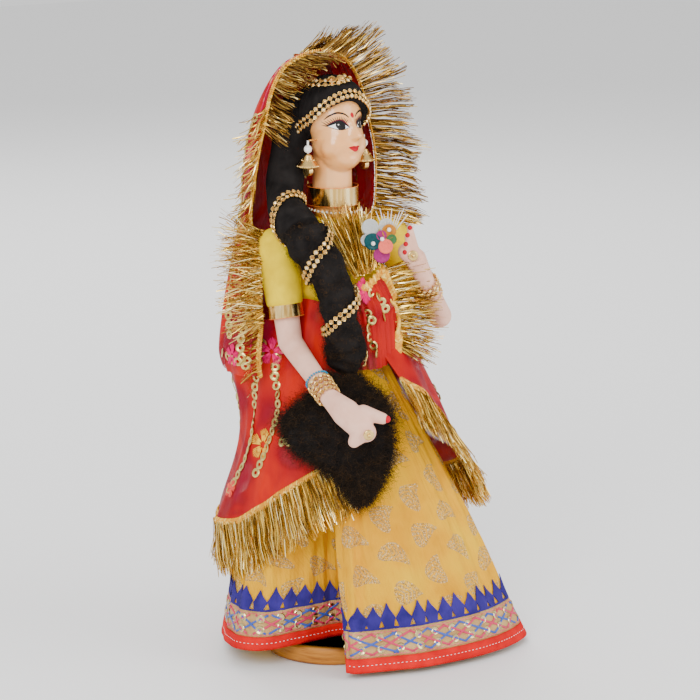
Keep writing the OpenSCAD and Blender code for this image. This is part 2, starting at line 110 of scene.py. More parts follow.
# ---------- shader and geometry node trees ----------
class Net:
    """Adds nodes to a tree: a value is a number, a colour, a node or a socket."""

    def __init__(self, tree):
        self.tree = tree

    def put(self, socket, value):
        if isinstance(value, bpy.types.Node):
            value = value.outputs[0]
        if isinstance(value, bpy.types.NodeSocket):
            self.tree.links.new(value, socket)
        else:
            socket.default_value = value

    def node(self, kind, values=(), **settings):
        made = self.tree.nodes.new(kind)
        for key, value in settings.items():
            setattr(made, key, value)
        if isinstance(values, dict):
            values = values.items()
        else:
            values = enumerate(values)
        for key, value in values:
            if value is not None:
                self.put(made.inputs[key], value)
        return made

    def math(self, operation, *values):
        return self.node("ShaderNodeMath", values, operation=operation)

    def vector(self, operation, *values):
        return self.node("ShaderNodeVectorMath", values, operation=operation)

    def noise(self, place, scale, **more):
        return self.node("ShaderNodeTexNoise", {"Vector": place, "Scale": scale, **more})

    def ramp(self, value, *stops):
        made = self.node("ShaderNodeValToRGB", [value])
        band = made.color_ramp
        while len(band.elements) < len(stops):
            band.elements.new(0.5)
        for element, (place, colour) in zip(band.elements, stops):
            element.position = place
            element.color = (*colour, 1)
        return made

    def between(self, value, low, high):
        return self.node("ShaderNodeMapRange", [value, low, high, 0, 1])

    def blend(self, share, a, b):
        made = self.node("ShaderNodeMix", data_type="RGBA")
        self.put(made.inputs["Factor"], share)
        for key, value in (("A", a), ("B", b)):
            socket = [s for s in made.inputs if s.name == key and s.type == "RGBA"][0]
            self.put(socket, (*value, 1) if isinstance(value, tuple) else value)
        return [s for s in made.outputs if s.type == "RGBA"][0]


def material(name, **settings):
    """A Principled material with its fixed settings, as (material, net, shader)."""
    made = bpy.data.materials.new(name)
    made.use_nodes = True
    net = Net(made.node_tree)
    shader = made.node_tree.nodes["Principled BSDF"]
    for key, value in settings.items():
        shader.inputs[key.replace("_", " ").title().replace("Ior", "IOR")
                      ].default_value = value
    return made, net, shader


def group(name, inputs, output_names):
    """An empty shader node group with float or vector inputs."""
    tree = bpy.data.node_groups.new(name, "ShaderNodeTree")
    for key, kind in inputs:
        tree.interface.new_socket(key, in_out="INPUT", socket_type=kind)
    for key in output_names:
        tree.interface.new_socket(key, in_out="OUTPUT", socket_type="NodeSocketFloat")
    net = Net(tree)
    return tree, net, net.node("NodeGroupInput"), net.node("NodeGroupOutput")


def weave_group():
    """Crossed threads: a height for the bump and a shade for the colour."""
    tree, net, given, out = group(
        "woven_threads",
        [("Place", "NodeSocketVector"), ("Threads", "NodeSocketFloat")],
        ["Height", "Shade"])
    place = net.vector("SCALE", given.outputs["Place"])
    net.put(place.inputs["Scale"], given.outputs["Threads"])
    parts = net.node("ShaderNodeSeparateXYZ", [place])
    warp = net.math("ABSOLUTE", net.math("SINE", parts.outputs[0]))
    weft = net.math("ABSOLUTE", net.math("SINE", net.math("ADD", parts.outputs[1],
                                                          parts.outputs[2])))
    height = net.math("MULTIPLY", warp, weft)
    cloud = net.noise(given.outputs["Place"], 90.0, Detail=3.0)
    net.put(out.inputs["Height"], height)
    net.put(out.inputs["Shade"], cloud.outputs[0])
    return tree


def wool_group():
    """Fine crossing fibres for felt and wool."""
    tree, net, given, out = group(
        "felted_fibres",
        [("Place", "NodeSocketVector"), ("Fineness", "NodeSocketFloat")],
        ["Height", "Shade"])
    fine = net.noise(given.outputs["Place"], given.outputs["Fineness"], Detail=6.0,
                     Roughness=0.75, Distortion=1.5)
    broad = net.noise(given.outputs["Place"], 110.0, Detail=2.0)
    net.put(out.inputs["Height"], fine.outputs[0])
    net.put(out.inputs["Shade"], broad.outputs[0])
    return tree


GROUPS = {"weave": weave_group(), "wool": wool_group()}


def effect(net, name, *values):
    made = net.node("ShaderNodeGroup", node_tree=GROUPS[name])
    for socket, value in zip(made.inputs, values):
        net.put(socket, value)
    return made


def here(net):
    return net.node("ShaderNodeTexCoord").outputs["Object"]


def on_cloth(net):
    return net.node("ShaderNodeTexCoord").outputs["UV"]


def bump(net, shader, height, distance, strength=1.0):
    made = net.node("ShaderNodeBump", {"Strength": strength, "Distance": distance,
                                       "Height": height})
    net.put(shader.inputs["Normal"], made)


# ---------- materials ----------
def woven(name, dark, light, threads=5200.0, depth=0.00018, **settings):
    """Plain woven cloth, with its colour drifting between two shades."""
    made, net, shader = material(name, **{"roughness": 0.8,
                                          "specular_ior_level": 0.12, **settings})
    cloth = effect(net, "weave", here(net), threads)
    shade = net.between(cloth.outputs["Shade"], 0.35, 0.65)
    net.put(shader.inputs["Base Color"], net.blend(shade.outputs[0], dark, light))
    bump(net, shader, cloth.outputs["Height"], depth, 0.6)
    return made


def felted(name, dark, light, fineness=1600.0, depth=0.0004, **settings):
    """Felt or wool: soft fibres, and no threads to be seen."""
    made, net, shader = material(name, **{"roughness": 0.9,
                                          "specular_ior_level": 0.08, **settings})
    felt = effect(net, "wool", here(net), fineness)
    shade = net.between(felt.outputs["Shade"], 0.3, 0.7)
    net.put(shader.inputs["Base Color"], net.blend(shade.outputs[0], dark, light))
    bump(net, shader, felt.outputs["Height"], depth, 0.8)
    return made


def toned(name, *stops, **settings):
    """Strands and small pieces, each with its own shade from its tone."""
    made, net, shader = material(name, **settings)
    tone = net.node("ShaderNodeAttribute", attribute_name="tone")
    colour = net.ramp(tone.outputs["Fac"], *stops)
    grain = net.noise(here(net), 1400.0)
    rough = net.math("MULTIPLY_ADD", grain.outputs[0], 0.25,
                     settings.get("roughness", 0.3) - 0.1)
    net.put(shader.inputs["Base Color"], colour)
    net.put(shader.inputs["Roughness"], rough)
    return made


def paisley_mask(net, place, size):
    """Leaf shapes that lie each its own way: how far inside, and the leaf's axes."""
    parts = net.node("ShaderNodeSeparateXYZ", [place])
    across = net.math("DIVIDE", parts.outputs[0], size)
    up = net.math("DIVIDE", parts.outputs[1], size * 0.92)
    column = net.math("FLOOR", across)
    lane = net.math("MULTIPLY_ADD", net.math("MODULO", column, 2.0), 0.5, up)
    cell = net.node("ShaderNodeCombineXYZ", [column, net.math("FLOOR", lane)])
    turn = net.node("ShaderNodeTexWhiteNoise", [cell], noise_dimensions="2D")
    angle = net.math("MULTIPLY", turn.outputs["Value"], 2.6)
    cosine, sine = net.math("COSINE", angle), net.math("SINE", angle)
    x = net.math("SUBTRACT", net.math("FRACT", across), 0.5)
    y = net.math("SUBTRACT", net.math("FRACT", lane), 0.5)
    u = net.math("SUBTRACT", net.math("MULTIPLY", x, cosine),
                 net.math("MULTIPLY", y, sine))
    v = net.math("ADD", net.math("MULTIPLY", x, sine), net.math("MULTIPLY", y, cosine))
    bend = net.math("MULTIPLY_ADD", net.math("MULTIPLY", v, v), -1.1, u)
    wide = net.math("DIVIDE", net.math("ADD", bend, 0.03),
                    net.math("MULTIPLY_ADD", v, -0.34, 0.25))
    tall = net.math("DIVIDE", v, 0.41)
    reach = net.math("SQRT", net.math("ADD", net.math("MULTIPLY", wide, wide),
                                      net.math("MULTIPLY", tall, tall)))
    return net.math("SUBTRACT", 1.0, reach), bend, v


def skirt_cloth():
    """Crinkled yellow cotton, printed with leaves of fine gold glitter."""
    made, net, shader = material("skirt_cotton", specular_ior_level=0.15)
    place = on_cloth(net)
    wobble = net.noise(place, 55.0)
    shift = net.vector("SCALE", net.vector("SUBTRACT", wobble.outputs["Color"],
                                           (0.5, 0.5, 0.5)))
    shift.inputs["Scale"].default_value = 0.005
    inside, bent, y = paisley_mask(net, net.vector("ADD", place, shift), 0.025)
    leaf = net.between(inside, 0.0, 0.04)
    ribs = net.math("SINE", net.math("MULTIPLY_ADD", net.math("ABSOLUTE", bent), 42.0,
                                     net.math("MULTIPLY", y, 52.0)))
    vein = net.between(ribs, -0.95, -0.35)
    core = net.between(inside, 0.13, 0.17)
    print_mask = net.math("MULTIPLY", leaf.outputs[0],
                          net.math("MAXIMUM", vein.outputs[0],
                                   net.math("SUBTRACT", 1.0, core.outputs[0])))
    speck = net.noise(here(net), 1500.0, Detail=2.0)
    worn = net.between(speck.outputs[0], 0.36, 0.50)
    print_mask = net.math("MULTIPLY", print_mask, worn.outputs[0])
    drift = net.noise(here(net), 30.0, Detail=3.0)
    ground = net.ramp(drift.outputs[0], (0.3, (0.78, 0.31, 0.0)),
                      (0.5, (0.95, 0.46, 0.0)), (0.72, (1.0, 0.56, 0.001)))
    spark = net.node("ShaderNodeTexVoronoi", {"Vector": here(net), "Scale": 1900.0})
    glitter = net.ramp(spark.outputs["Color"], (0.2, (0.34, 0.17, 0.045)),
                       (0.6, (0.58, 0.35, 0.13)), (0.95, (1.0, 0.86, 0.52)))
    net.put(shader.inputs["Base Color"], net.blend(print_mask, ground, glitter))
    net.put(shader.inputs["Metallic"], net.math("MULTIPLY", print_mask, 0.30))
    net.put(shader.inputs["Roughness"],
            net.math("MULTIPLY_ADD", print_mask, -0.32, 0.78))
    turned = net.node("ShaderNodeMapping", {"Vector": place, "Rotation": (0, 0, 0.55),
                                            "Scale": (1.0, 0.16, 1.0)})
    crinkle = net.noise(turned, 520.0, Detail=5.0, Roughness=0.6)
    threads = effect(net, "weave", place, 7000.0)
    height = net.math("MULTIPLY_ADD", threads.outputs["Height"], 0.12,
                      crinkle.outputs[0])
    bump(net, shader, height, 0.0019, 0.85)
    return made


def organza():
    """Sheer red veil: the threads let light through, and red patches are denser."""
    made, net, shader = material("red_organza", roughness=0.5, specular_ior_level=0.15)
    place = here(net)
    cloth = effect(net, "weave", place, 9000.0)
    patch = net.noise(place, 26.0, Detail=2.0, Distortion=1.2)
    upright = net.node("ShaderNodeSeparateXYZ", [place])
    hood = net.between(upright.outputs[2], 0.215, 0.245)
    dense = net.math("MAXIMUM", net.between(patch.outputs[0], 0.42, 0.50).outputs[0],
                     hood.outputs[0])
    colour = net.ramp(patch.outputs[0], (0.3, (0.30, 0.008, 0.034)),
                      (0.46, (0.36, 0.001, 0.007)), (0.66, (0.56, 0.012, 0.001)))
    net.put(shader.inputs["Base Color"], colour)
    cover = net.math("MULTIPLY_ADD", dense, 0.22, 0.76)
    net.put(shader.inputs["Alpha"],
            net.math("MULTIPLY_ADD", cloth.outputs["Height"], 0.08, cover))
    bump(net, shader, cloth.outputs["Height"], 0.0001, 0.5)
    return made


def painted_skin():
    """Varnished paint: peach, drifting at random in tone, with a clear coat."""
    made, net, shader = material("painted_skin", roughness=0.30, coat_weight=0.7,
                                 coat_roughness=0.08, subsurface_weight=0.06)
    drift = net.noise(here(net), 55.0, Detail=4.0)
    colour = net.ramp(drift.outputs[0], (0.3, (0.86, 0.36, 0.10)),
                      (0.55, (0.95, 0.43, 0.14)), (0.75, (0.99, 0.49, 0.18)))
    net.put(shader.inputs["Base Color"], colour)
    brush = net.noise(here(net), 420.0, Detail=3.0)
    bump(net, shader, brush.outputs[0], 0.00012, 0.35)
    return made


def paint(name, dark, light, **settings):
    """A brushed-on colour, with faint streaks."""
    made, net, shader = material(name, **{"roughness": 0.4,
                                          "specular_ior_level": 0.15, **settings})
    streak = net.noise(here(net), 900.0)
    net.put(shader.inputs["Base Color"], net.blend(streak.outputs[0], dark, light))
    return made


def turned_wood():
    """Ochre varnished wood with rings and grain."""
    made, net, shader = material("turned_wood", specular_ior_level=0.3)
    place = here(net)
    stretch = net.node("ShaderNodeMapping", {"Vector": place, "Scale": (1, 1, 9)})
    grain = net.noise(stretch, 95.0, Detail=6.0, Distortion=0.8)
    rings = net.node("ShaderNodeTexWave", {"Vector": stretch, "Scale": 34.0,
                                           "Distortion": 5.0, "Detail": 3.0},
                     wave_type="RINGS", rings_direction="Z")
    mix = net.math("MULTIPLY_ADD", rings.outputs["Fac"], 0.35,
                   net.math("MULTIPLY", grain.outputs[0], 0.65))
    colour = net.ramp(mix, (0.25, (0.20, 0.060, 0.004)), (0.5, (0.36, 0.125, 0.010)),
                      (0.75, (0.52, 0.205, 0.024)))
    net.put(shader.inputs["Base Color"], colour)
    net.put(shader.inputs["Roughness"], net.math("MULTIPLY_ADD", mix, 0.3, 0.32))
    bump(net, shader, grain.outputs[0], 0.0004, 0.5)
    return made


def metal(name, dark, light, roughness=0.22):
    """Bright metal, dulled in patches by handling."""
    made, net, shader = material(name, metallic=1.0)
    wear = net.noise(here(net), 260.0, Detail=4.0)
    net.put(shader.inputs["Base Color"], net.blend(wear.outputs[0], dark, light))
    net.put(shader.inputs["Roughness"],
            net.math("MULTIPLY_ADD", wear.outputs[0], 0.3, roughness - 0.1))
    fine = net.noise(here(net), 1500.0)
    bump(net, shader, fine.outputs[0], 0.00008, 0.5)
    return made


def gold_ribbon():
    """Flat metallic ribbon: upright ribs that catch the light."""
    made, net, shader = material("gold_ribbon", metallic=1.0)
    place = here(net)
    squeezed = net.node("ShaderNodeMapping", {"Vector": place,
                                              "Scale": (1, 1, 0.04)})
    ribs = net.noise(squeezed, 430.0, Detail=3.0)
    colour = net.ramp(ribs.outputs[0], (0.3, (0.52, 0.28, 0.06)),
                      (0.5, (0.80, 0.50, 0.15)), (0.72, (1.0, 0.78, 0.38)))
    net.put(shader.inputs["Base Color"], colour)
    net.put(shader.inputs["Roughness"],
            net.math("MULTIPLY_ADD", ribs.outputs[0], 0.3, 0.06))
    bump(net, shader, ribs.outputs[0], 0.0004, 0.35)
    return made


def pearl():
    made, net, shader = material("pearl", roughness=0.18, coat_weight=0.8)
    drift = net.noise(here(net), 240.0)
    net.put(shader.inputs["Base Color"],
            net.blend(drift.outputs[0], (0.86, 0.80, 0.72), (0.97, 0.95, 0.93)))
    return made


FINISH = {
    "cotton": skirt_cloth(),
    "binding": woven("red_binding", (0.56, 0.002, 0.004), (0.74, 0.005, 0.006)),
    "lace": woven("lace_ground", (0.46, 0.26, 0.09), (0.62, 0.40, 0.16),
                  2600.0, 0.0004, metallic=0.25, roughness=0.5),
    "applique": woven("blue_applique", (0.022, 0.013, 0.14), (0.045, 0.027, 0.23)),
    "felt": felted("yellow_felt", (0.74, 0.50, 0.001), (0.92, 0.66, 0.003)),
    "pink": felted("pink_cloth", (0.78, 0.43, 0.31), (0.88, 0.53, 0.40),
                   2600.0, 0.00015, roughness=0.85),
    "wool": felted("black_wool", (0.006, 0.005, 0.005), (0.020, 0.017, 0.016),
                   1200.0, 0.0009),
    "fibre": toned("wool_fibre", (0.0, (0.008, 0.006, 0.005)),
                   (0.7, (0.020, 0.014, 0.010)), (1.0, (0.07, 0.035, 0.012)),
                   roughness=0.8, specular_ior_level=0.1),
    "organza": organza(),
    "skin": painted_skin(),
    "red_paint": paint("red_paint", (0.38, 0.0, 0.008), (0.54, 0.001, 0.018)),
    "maroon_paint": paint("maroon_paint", (0.20, 0.006, 0.03), (0.32, 0.012, 0.05)),
    "black_paint": paint("black_paint", (0.005, 0.005, 0.006), (0.015, 0.014, 0.014)),
    "white_paint": paint("white_paint", (0.84, 0.83, 0.84), (0.95, 0.94, 0.94)),
    "wood": turned_wood(),
    "gold": metal("bright_gold", (0.62, 0.38, 0.10), (0.92, 0.66, 0.27)),
    "sequin": metal("sequin_gold", (0.50, 0.36, 0.08), (0.85, 0.70, 0.26), 0.26),
    "mirror": metal("mirror_disc", (0.36, 0.27, 0.09), (0.84, 0.70, 0.36), 0.16),
    "ribbon": gold_ribbon(),
    "pearl": pearl(),
    "steel": metal("drawn_wire", (0.30, 0.30, 0.32), (0.50, 0.50, 0.52), 0.35),
    "tinsel": toned("gold_tinsel", (0.0, (0.20, 0.09, 0.015)),
                    (0.45, (0.60, 0.34, 0.045)), (0.8, (0.86, 0.58, 0.11)),
                    (1.0, (1.0, 0.86, 0.45)), metallic=0.9, roughness=0.24),
    # A darker copy of the gold tinsel: painted shade for the far, inner and crown
    # fringes of the hood
    "shaded_tinsel": toned("painted_shade_tinsel", (0.0, (0.09, 0.035, 0.010)),
                         (0.5, (0.30, 0.15, 0.025)), (0.85, (0.62, 0.38, 0.07)),
                         (1.0, (0.95, 0.75, 0.32)), metallic=0.9, roughness=0.28),
    "braid": toned("gold_braid", (0.0, (0.70, 0.30, 0.010)), (0.6, (0.88, 0.46, 0.02)),
                   (1.0, (1.0, 0.72, 0.16)), metallic=0.3, roughness=0.5),
    "stone": toned("cut_stone", (0.0, (0.34, 0.14, 0.02)), (0.6, (0.70, 0.38, 0.08)),
                   (1.0, (1.0, 0.80, 0.48)), metallic=0.45, roughness=0.14),
    "crystal": toned("crystal_stone", (0.0, (0.62, 0.60, 0.58)), (1.0, (1, 1, 1)),
                     roughness=0.10, coat_weight=1.0),
    "pink_thread": toned("pink_thread", (0.0, (0.58, 0.0, 0.085)),
                         (1.0, (0.88, 0.004, 0.19)), roughness=0.6,
                         specular_ior_level=0.1),
    "bead_blue": paint("blue_bead", (0.01, 0.16, 0.30), (0.03, 0.30, 0.48)),
    "disc_white": paint("white_disc", (0.46, 0.48, 0.47), (0.74, 0.76, 0.74),
                        alpha=0.8),
    "disc_teal": paint("teal_disc", (0.001, 0.030, 0.038), (0.008, 0.10, 0.11),
                       roughness=0.2),
    "disc_amber": paint("amber_disc", (0.36, 0.11, 0.006), (0.60, 0.24, 0.02)),
    "disc_coral": paint("coral_disc", (0.80, 0.10, 0.065), (0.90, 0.17, 0.12)),
    "disc_magenta": paint("magenta_disc", (0.22, 0.008, 0.085), (0.42, 0.03, 0.20)),
    "disc_green": paint("green_disc", (0.02, 0.09, 0.02), (0.07, 0.20, 0.07)),
}
# Threads: dark shade, light shade and roughness
THREADS = {
    "yellow": ((0.80, 0.38, 0.01), (1.0, 0.62, 0.04), 0.45),
    "red": ((0.62, 0.02, 0.03), (0.92, 0.09, 0.03), 0.5),
    "orange": ((0.80, 0.14, 0.02), (0.95, 0.30, 0.04), 0.5),
    "blue": ((0.035, 0.09, 0.42), (0.13, 0.30, 0.72), 0.45),
    "rose": ((0.62, 0.02, 0.09), (0.92, 0.12, 0.24), 0.45),
    "white": ((0.75, 0.70, 0.66), (0.95, 0.92, 0.90), 0.5)}
for shade, (dark, light, rough) in THREADS.items():
    FINISH[f"{shade}_thread"] = toned(f"{shade}_thread", (0.0, dark), (1.0, light),
                                      roughness=rough)


# ---------- curves ----------
def spline(points, count, closed=False):
    """A smooth curve through points, as count rows; any number of columns."""
    p = np.asarray(points, float)
    n = len(p)
    u = np.linspace(0, n if closed else n - 1, count, endpoint=not closed)
    i = np.minimum(np.floor(u).astype(int), n - (1 if closed else 2))
    t = (u - i)[:, None]

    def at(k):
        return p[k % n] if closed else p[np.clip(k, 0, n - 1)]

    a, b, c, d = at(i - 1), at(i), at(i + 1), at(i + 2)
    return (b * 2 + (c - a) * t + (a * 2 - b * 5 + c * 4 - d) * t * t
            + (b * 3 - a - c * 3 + d) * t ** 3) / 2


def once_round(count):
    """Even angles once round."""
    return np.linspace(0, 2 * math.pi, count, endpoint=False)


def unit(v):
    v = np.asarray(v, float)
    return v / np.maximum(np.linalg.norm(v, axis=-1, keepdims=True), 1e-9)


def ways(line):
    """The direction of travel at each point of a line."""
    return unit(np.gradient(line, axis=0))


def even(line, step):
    """The line again with points step apart."""
    far = np.linalg.norm(np.diff(line[:, :3], axis=0), axis=1)
    along = np.concatenate([[0], np.cumsum(far)])
    at = np.arange(step / 2, along[-1], step)
    return np.stack([np.interp(at, along, line[:, k])
                     for k in range(line.shape[1])], 1)


def grid_normals(grid, closed=False):
    """Outward normals of a grid of rows that run anticlockwise."""
    if closed:
        across = np.roll(grid, -1, 1) - np.roll(grid, 1, 1)
    else:
        across = np.gradient(grid, axis=1)
    return unit(np.cross(across, np.gradient(grid, axis=0)))


# ---------- meshes ----------
def piece(name, points, faces, finish, uv=None, smooth=True):
    """A mesh object from millimetre points; uv has one pair for each point."""
    mesh = bpy.data.meshes.new(name)
    mesh.from_pydata((np.asarray(points, float) * MM).tolist(), [], faces)
    if uv is not None:
        corner = np.zeros(len(mesh.loops), np.int32)
        mesh.loops.foreach_get("vertex_index", corner)
        layer = mesh.uv_layers.new(name="cloth")
        layer.data.foreach_set("uv", np.asarray(uv, np.float32)[corner].ravel())
    mesh.materials.append(FINISH[finish])
    if smooth:
        mesh.shade_smooth()
    return linked(name, mesh)


def grid_faces(rows, columns, closed=False):
    i, j = np.meshgrid(np.arange(rows - 1), np.arange(columns - (not closed)),
                       indexing="ij")
    a = i * columns + j
    b = i * columns + (j + 1) % columns
    return np.stack([a, b, b + columns, a + columns], -1).reshape(-1, 4).tolist()


def capped_faces(rows, columns):
    """Faces of a tube of rings, with both ends filled."""
    n = rows * columns
    return (grid_faces(rows, columns, True)
            + [list(range(columns))[::-1], list(range(n - columns, n))])


def sheet_piece(name, grid, finish, uv=None, closed=False):
    rows, columns = grid.shape[:2]
    if uv is not None:
        uv = uv.reshape(-1, 2)
    return piece(name, grid.reshape(-1, 3), grid_faces(rows, columns, closed),
                 finish, uv)


def cloth_uv(grid):
    """Distance across and up a sheet, in metres."""
    across = np.linalg.norm(np.diff(grid, axis=1), axis=2)
    across = np.concatenate([np.zeros((len(grid), 1)), np.cumsum(across, 1)], 1)
    across = across - across[:, -1:] / 2
    up = np.linalg.norm(np.diff(grid, axis=0), axis=2)
    up = np.concatenate([np.zeros((1, grid.shape[1])), np.cumsum(up, 0)], 0)
    return np.stack([across, up], -1) * MM


def tube_mesh(path, radius, sides=8):
    """Rings along a path with closed ends: (points, faces)."""
    path = np.asarray(path, float)
    radius = np.broadcast_to(radius, len(path))
    way = ways(path)
    side = np.cross(way[0], (0.3, 0.2, 1.0))
    rings = []
    for p, w, r in zip(path, way, radius):
        side = unit(side - w * np.dot(side, w))
        up = np.cross(w, side)
        a = once_round(sides)[:, None]
        rings.append(p + r * (np.cos(a) * side + np.sin(a) * up))
    return np.concatenate(rings), capped_faces(len(path), sides)


def joined(parts):
    """Several (points, faces) as one."""
    points, faces, start = [], [], 0
    for p, f in parts:
        points.append(np.asarray(p, float))
        faces += [[start + k for k in face] for face in f]
        start += len(p)
    return np.concatenate(points), faces


def capsule(a, b, r1, r2, rings=7):
    """A round-ended taper from a to b: (points, faces)."""
    a, b = np.asarray(a, float), np.asarray(b, float)
    way = unit(b - a)
    turn = np.linspace(0, math.pi / 2, rings)
    start = [(a - way * r1 * math.cos(t), r1 * math.sin(t)) for t in turn]
    end = [(b + way * r2 * math.cos(t), r2 * math.sin(t)) for t in turn[::-1]]
    spots = start + end
    path = np.array([s[0] for s in spots])
    radius = np.maximum([s[1] for s in spots], 0.02)
    return tube_mesh(path, radius, 16)


def settled(obj, *modifiers):
    """Applies the modifiers given as (kind, settings) and returns a plain mesh."""
    for kind, settings in modifiers:
        made = obj.modifiers.new(kind.lower(), kind)
        for key, value in settings.items():
            setattr(made, key, value)
    bpy.context.view_layer.update()
    seen = obj.evaluated_get(bpy.context.evaluated_depsgraph_get())
    mesh = bpy.data.meshes.new_from_object(seen)
    obj.modifiers.clear()
    obj.data = mesh
    return obj


# ---------- what repeats: one geometry tree sets every small piece ----------
def setting_tree():
    """Sets a small piece on each guide point, leans it at random and curls it."""
    tree = bpy.data.node_groups.new("set_pieces", "GeometryNodeTree")
    new = tree.interface.new_socket
    new("Geometry", in_out="INPUT", socket_type="NodeSocketGeometry")
    for key, kind in (("Piece", "Object"), ("Finish", "Material"), ("Size", "Float"),
                      ("Size Drift", "Float"), ("Lean", "Float"), ("Curl", "Float"),
                      ("Curl Fineness", "Float"), ("Seed", "Int")):
        new(key, in_out="INPUT", socket_type="NodeSocket" + kind)
    new("Geometry", in_out="OUTPUT", socket_type="NodeSocketGeometry")
    net = Net(tree)
    given = net.node("NodeGroupInput").outputs
    named = {}
    for key, kind in (("out", "FLOAT_VECTOR"), ("across", "FLOAT_VECTOR"),
                      ("reach", "FLOAT"), ("along", "FLOAT")):
        named[key] = net.node("GeometryNodeInputNamedAttribute", {"Name": key},
                              data_type=kind).outputs[0]
    lean = net.node("FunctionNodeRandomValue", {0: (-1, -1, -1), 1: (1, 1, 1),
                                                "Seed": given["Seed"]},
                    data_type="FLOAT_VECTOR")
    lean = net.vector("SCALE", lean.outputs[0])
    net.put(lean.inputs["Scale"], given["Lean"])
    turn = net.node("FunctionNodeAxesToRotation",
                    [net.vector("ADD", named["out"], lean), named["across"]],
                    primary_axis="Z", secondary_axis="X")
    drift = net.node("FunctionNodeRandomValue", {
        2: -1.0, 3: 1.0, "Seed": net.math("ADD", given["Seed"], 1)}, data_type="FLOAT")
    size = net.math("MULTIPLY", given["Size"], net.math(
        "MULTIPLY_ADD", drift.outputs[1], given["Size Drift"], 1.0))
    scale = net.node("ShaderNodeCombineXYZ",
                     [given["Size"], given["Size"],
                      net.math("MULTIPLY", size, named["reach"])])
    small = net.node("GeometryNodeObjectInfo", {"Object": given["Piece"],
                                                "As Instance": True})
    placed = net.node("GeometryNodeInstanceOnPoints", {
        "Points": given["Geometry"], "Instance": small.outputs["Geometry"],
        "Rotation": turn, "Scale": scale})
    tone = net.node("FunctionNodeRandomValue", {
        2: 0.0, 3: 1.0, "Seed": net.math("ADD", given["Seed"], 2)}, data_type="FLOAT")
    toned_pieces = net.node("GeometryNodeStoreNamedAttribute", {
        "Geometry": placed, "Name": "tone", "Value": tone.outputs[1]},
        data_type="FLOAT", domain="INSTANCE")
    real = net.node("GeometryNodeRealizeInstances", {"Geometry": toned_pieces})
    cloud = net.noise(net.node("GeometryNodeInputPosition"), given["Curl Fineness"],
                      Detail=1.0)
    push = net.vector("SUBTRACT", cloud.outputs["Color"], (0.5, 0.5, 0.5))
    push = net.vector("SCALE", push)
    net.put(push.inputs["Scale"], net.math(
        "MULTIPLY", given["Curl"], net.math("POWER", named["along"], 1.6)))
    moved = net.node("GeometryNodeSetPosition", {"Geometry": real, "Offset": push})
    done = net.node("GeometryNodeSetMaterial", {"Geometry": moved,
                                                "Material": given["Finish"]})
    net.node("NodeGroupOutput", {"Geometry": done})
    return tree


SETTING = setting_tree()
SOCKETS = {s.name: s.identifier for s in SETTING.interface.items_tree
           if s.in_out == "INPUT"}


def shape(name, points, faces, along=None):
    """A small piece in metres, kept off the scene, for the tree to repeat."""
    mesh = bpy.data.meshes.new(name)
    mesh.from_pydata(np.asarray(points, float).tolist(), [], faces)
    share = mesh.attributes.new("along", "FLOAT", "POINT")
    if along is not None:
        share.data.foreach_set("value", np.asarray(along, np.float32))
    return bpy.data.objects.new(name, mesh)


def turned_shape(name, profile, sides, dents=0.0, ring=False):
    """A small turned piece, or a ring: (radius, height) from base to top, in mm."""
    points = []
    for r, z in profile:
        for k in range(sides):
            a = 2 * math.pi * k / sides
            wave = 1 + dents * (k % 2)
            points.append((r * wave * math.cos(a), r * wave * math.sin(a), z))
    faces = capped_faces(len(profile), sides)
    if ring:
        last = len(points) - sides
        faces[-2:] = [[last + k, last + (k + 1) % sides, (k + 1) % sides, k]
                      for k in range(sides)]
    return shape(name, np.array(points) * MM, faces)


def ribbon_shape(name, width, steps=5, twist=1.6):
    """One strand: a flat ribbon that turns a little on its way out."""
    points, along = [], []
    for i in range(steps + 1):
        t = i / steps
        a = twist * t
        half = width / 2 * (1 - 0.35 * t)
        for side in (-1, 1):
            points.append((side * half * math.cos(a), side * half * math.sin(a), t))
            along.append(t)
    faces = [[2 * i, 2 * i + 1, 2 * i + 3, 2 * i + 2] for i in range(steps)]
    return shape(name, points, faces, along)


def fibre_shape(name, radius, curl, turns, steps=7):
    """One curly wool fibre with three sides."""
    points, along = [], []
    for i in range(steps + 1):
        t = i / steps
        a = 2 * math.pi * turns * t
        x, y = curl * t * math.cos(a), curl * t * math.sin(a)
        r = radius * (1 - 0.7 * t)
        for k in range(3):
            b = 2 * math.pi * k / 3
            points.append((x + r * math.cos(b), y + r * math.sin(b), t))
            along.append(t)
    faces = grid_faces(steps + 1, 3, True) + [[2, 1, 0]]
    return shape(name, points, faces, along)


def stitch_shape(name, length, width, height):
    """A raised stitch that lies along X."""
    points = []
    for x, w in ((-0.5, 0.35), (-0.3, 1.0), (0.3, 1.0), (0.5, 0.35)):
        for k in range(6):
            a = 2 * math.pi * k / 6
            points.append((x * length, w * width / 2 * math.cos(a),
                           w * height * math.sin(a)))
    return shape(name, np.array(points) * MM, capped_faces(4, 6))


SHAPES = {
    "tinsel": ribbon_shape("tinsel_strand", 0.00062),
    "fibre": fibre_shape("wool_fibre", 0.00012, 0.0022, 1.3),
    "cup": turned_shape("stone_cup", [(0.5, 0), (1.1, 0.1), (1.62, 0.9), (1.5, 1.25),
                                      (1.1, 1.1)], 8, -0.10),
    "stone": turned_shape("cut_stone", [(0.90, 0.8), (1.02, 1.2), (0.50, 1.65)], 8),
    "sequin": turned_shape("ring_sequin", [(1.05, 0.0), (2.9, 0.0), (2.95, 0.25),
                                           (2.1, 0.62), (1.1, 0.35)], 14, 0.0, True),
    "mirror": turned_shape("mirror_disc", [(2.7, 0), (2.8, 0.25), (2.2, 0.7),
                                           (1.2, 0.42)], 12),
    "stitch": stitch_shape("stitch", 1.5, 0.45, 0.22),
    "satin": stitch_shape("satin_stitch", 3.6, 0.55, 0.30),
    "braid": stitch_shape("braid_thread", 2.5, 0.95, 0.55),
    "bead": turned_shape("bead", [(0.25, -0.8), (0.8, -0.4), (0.9, 0), (0.8, 0.4),
                                  (0.25, 0.8)], 8),
}


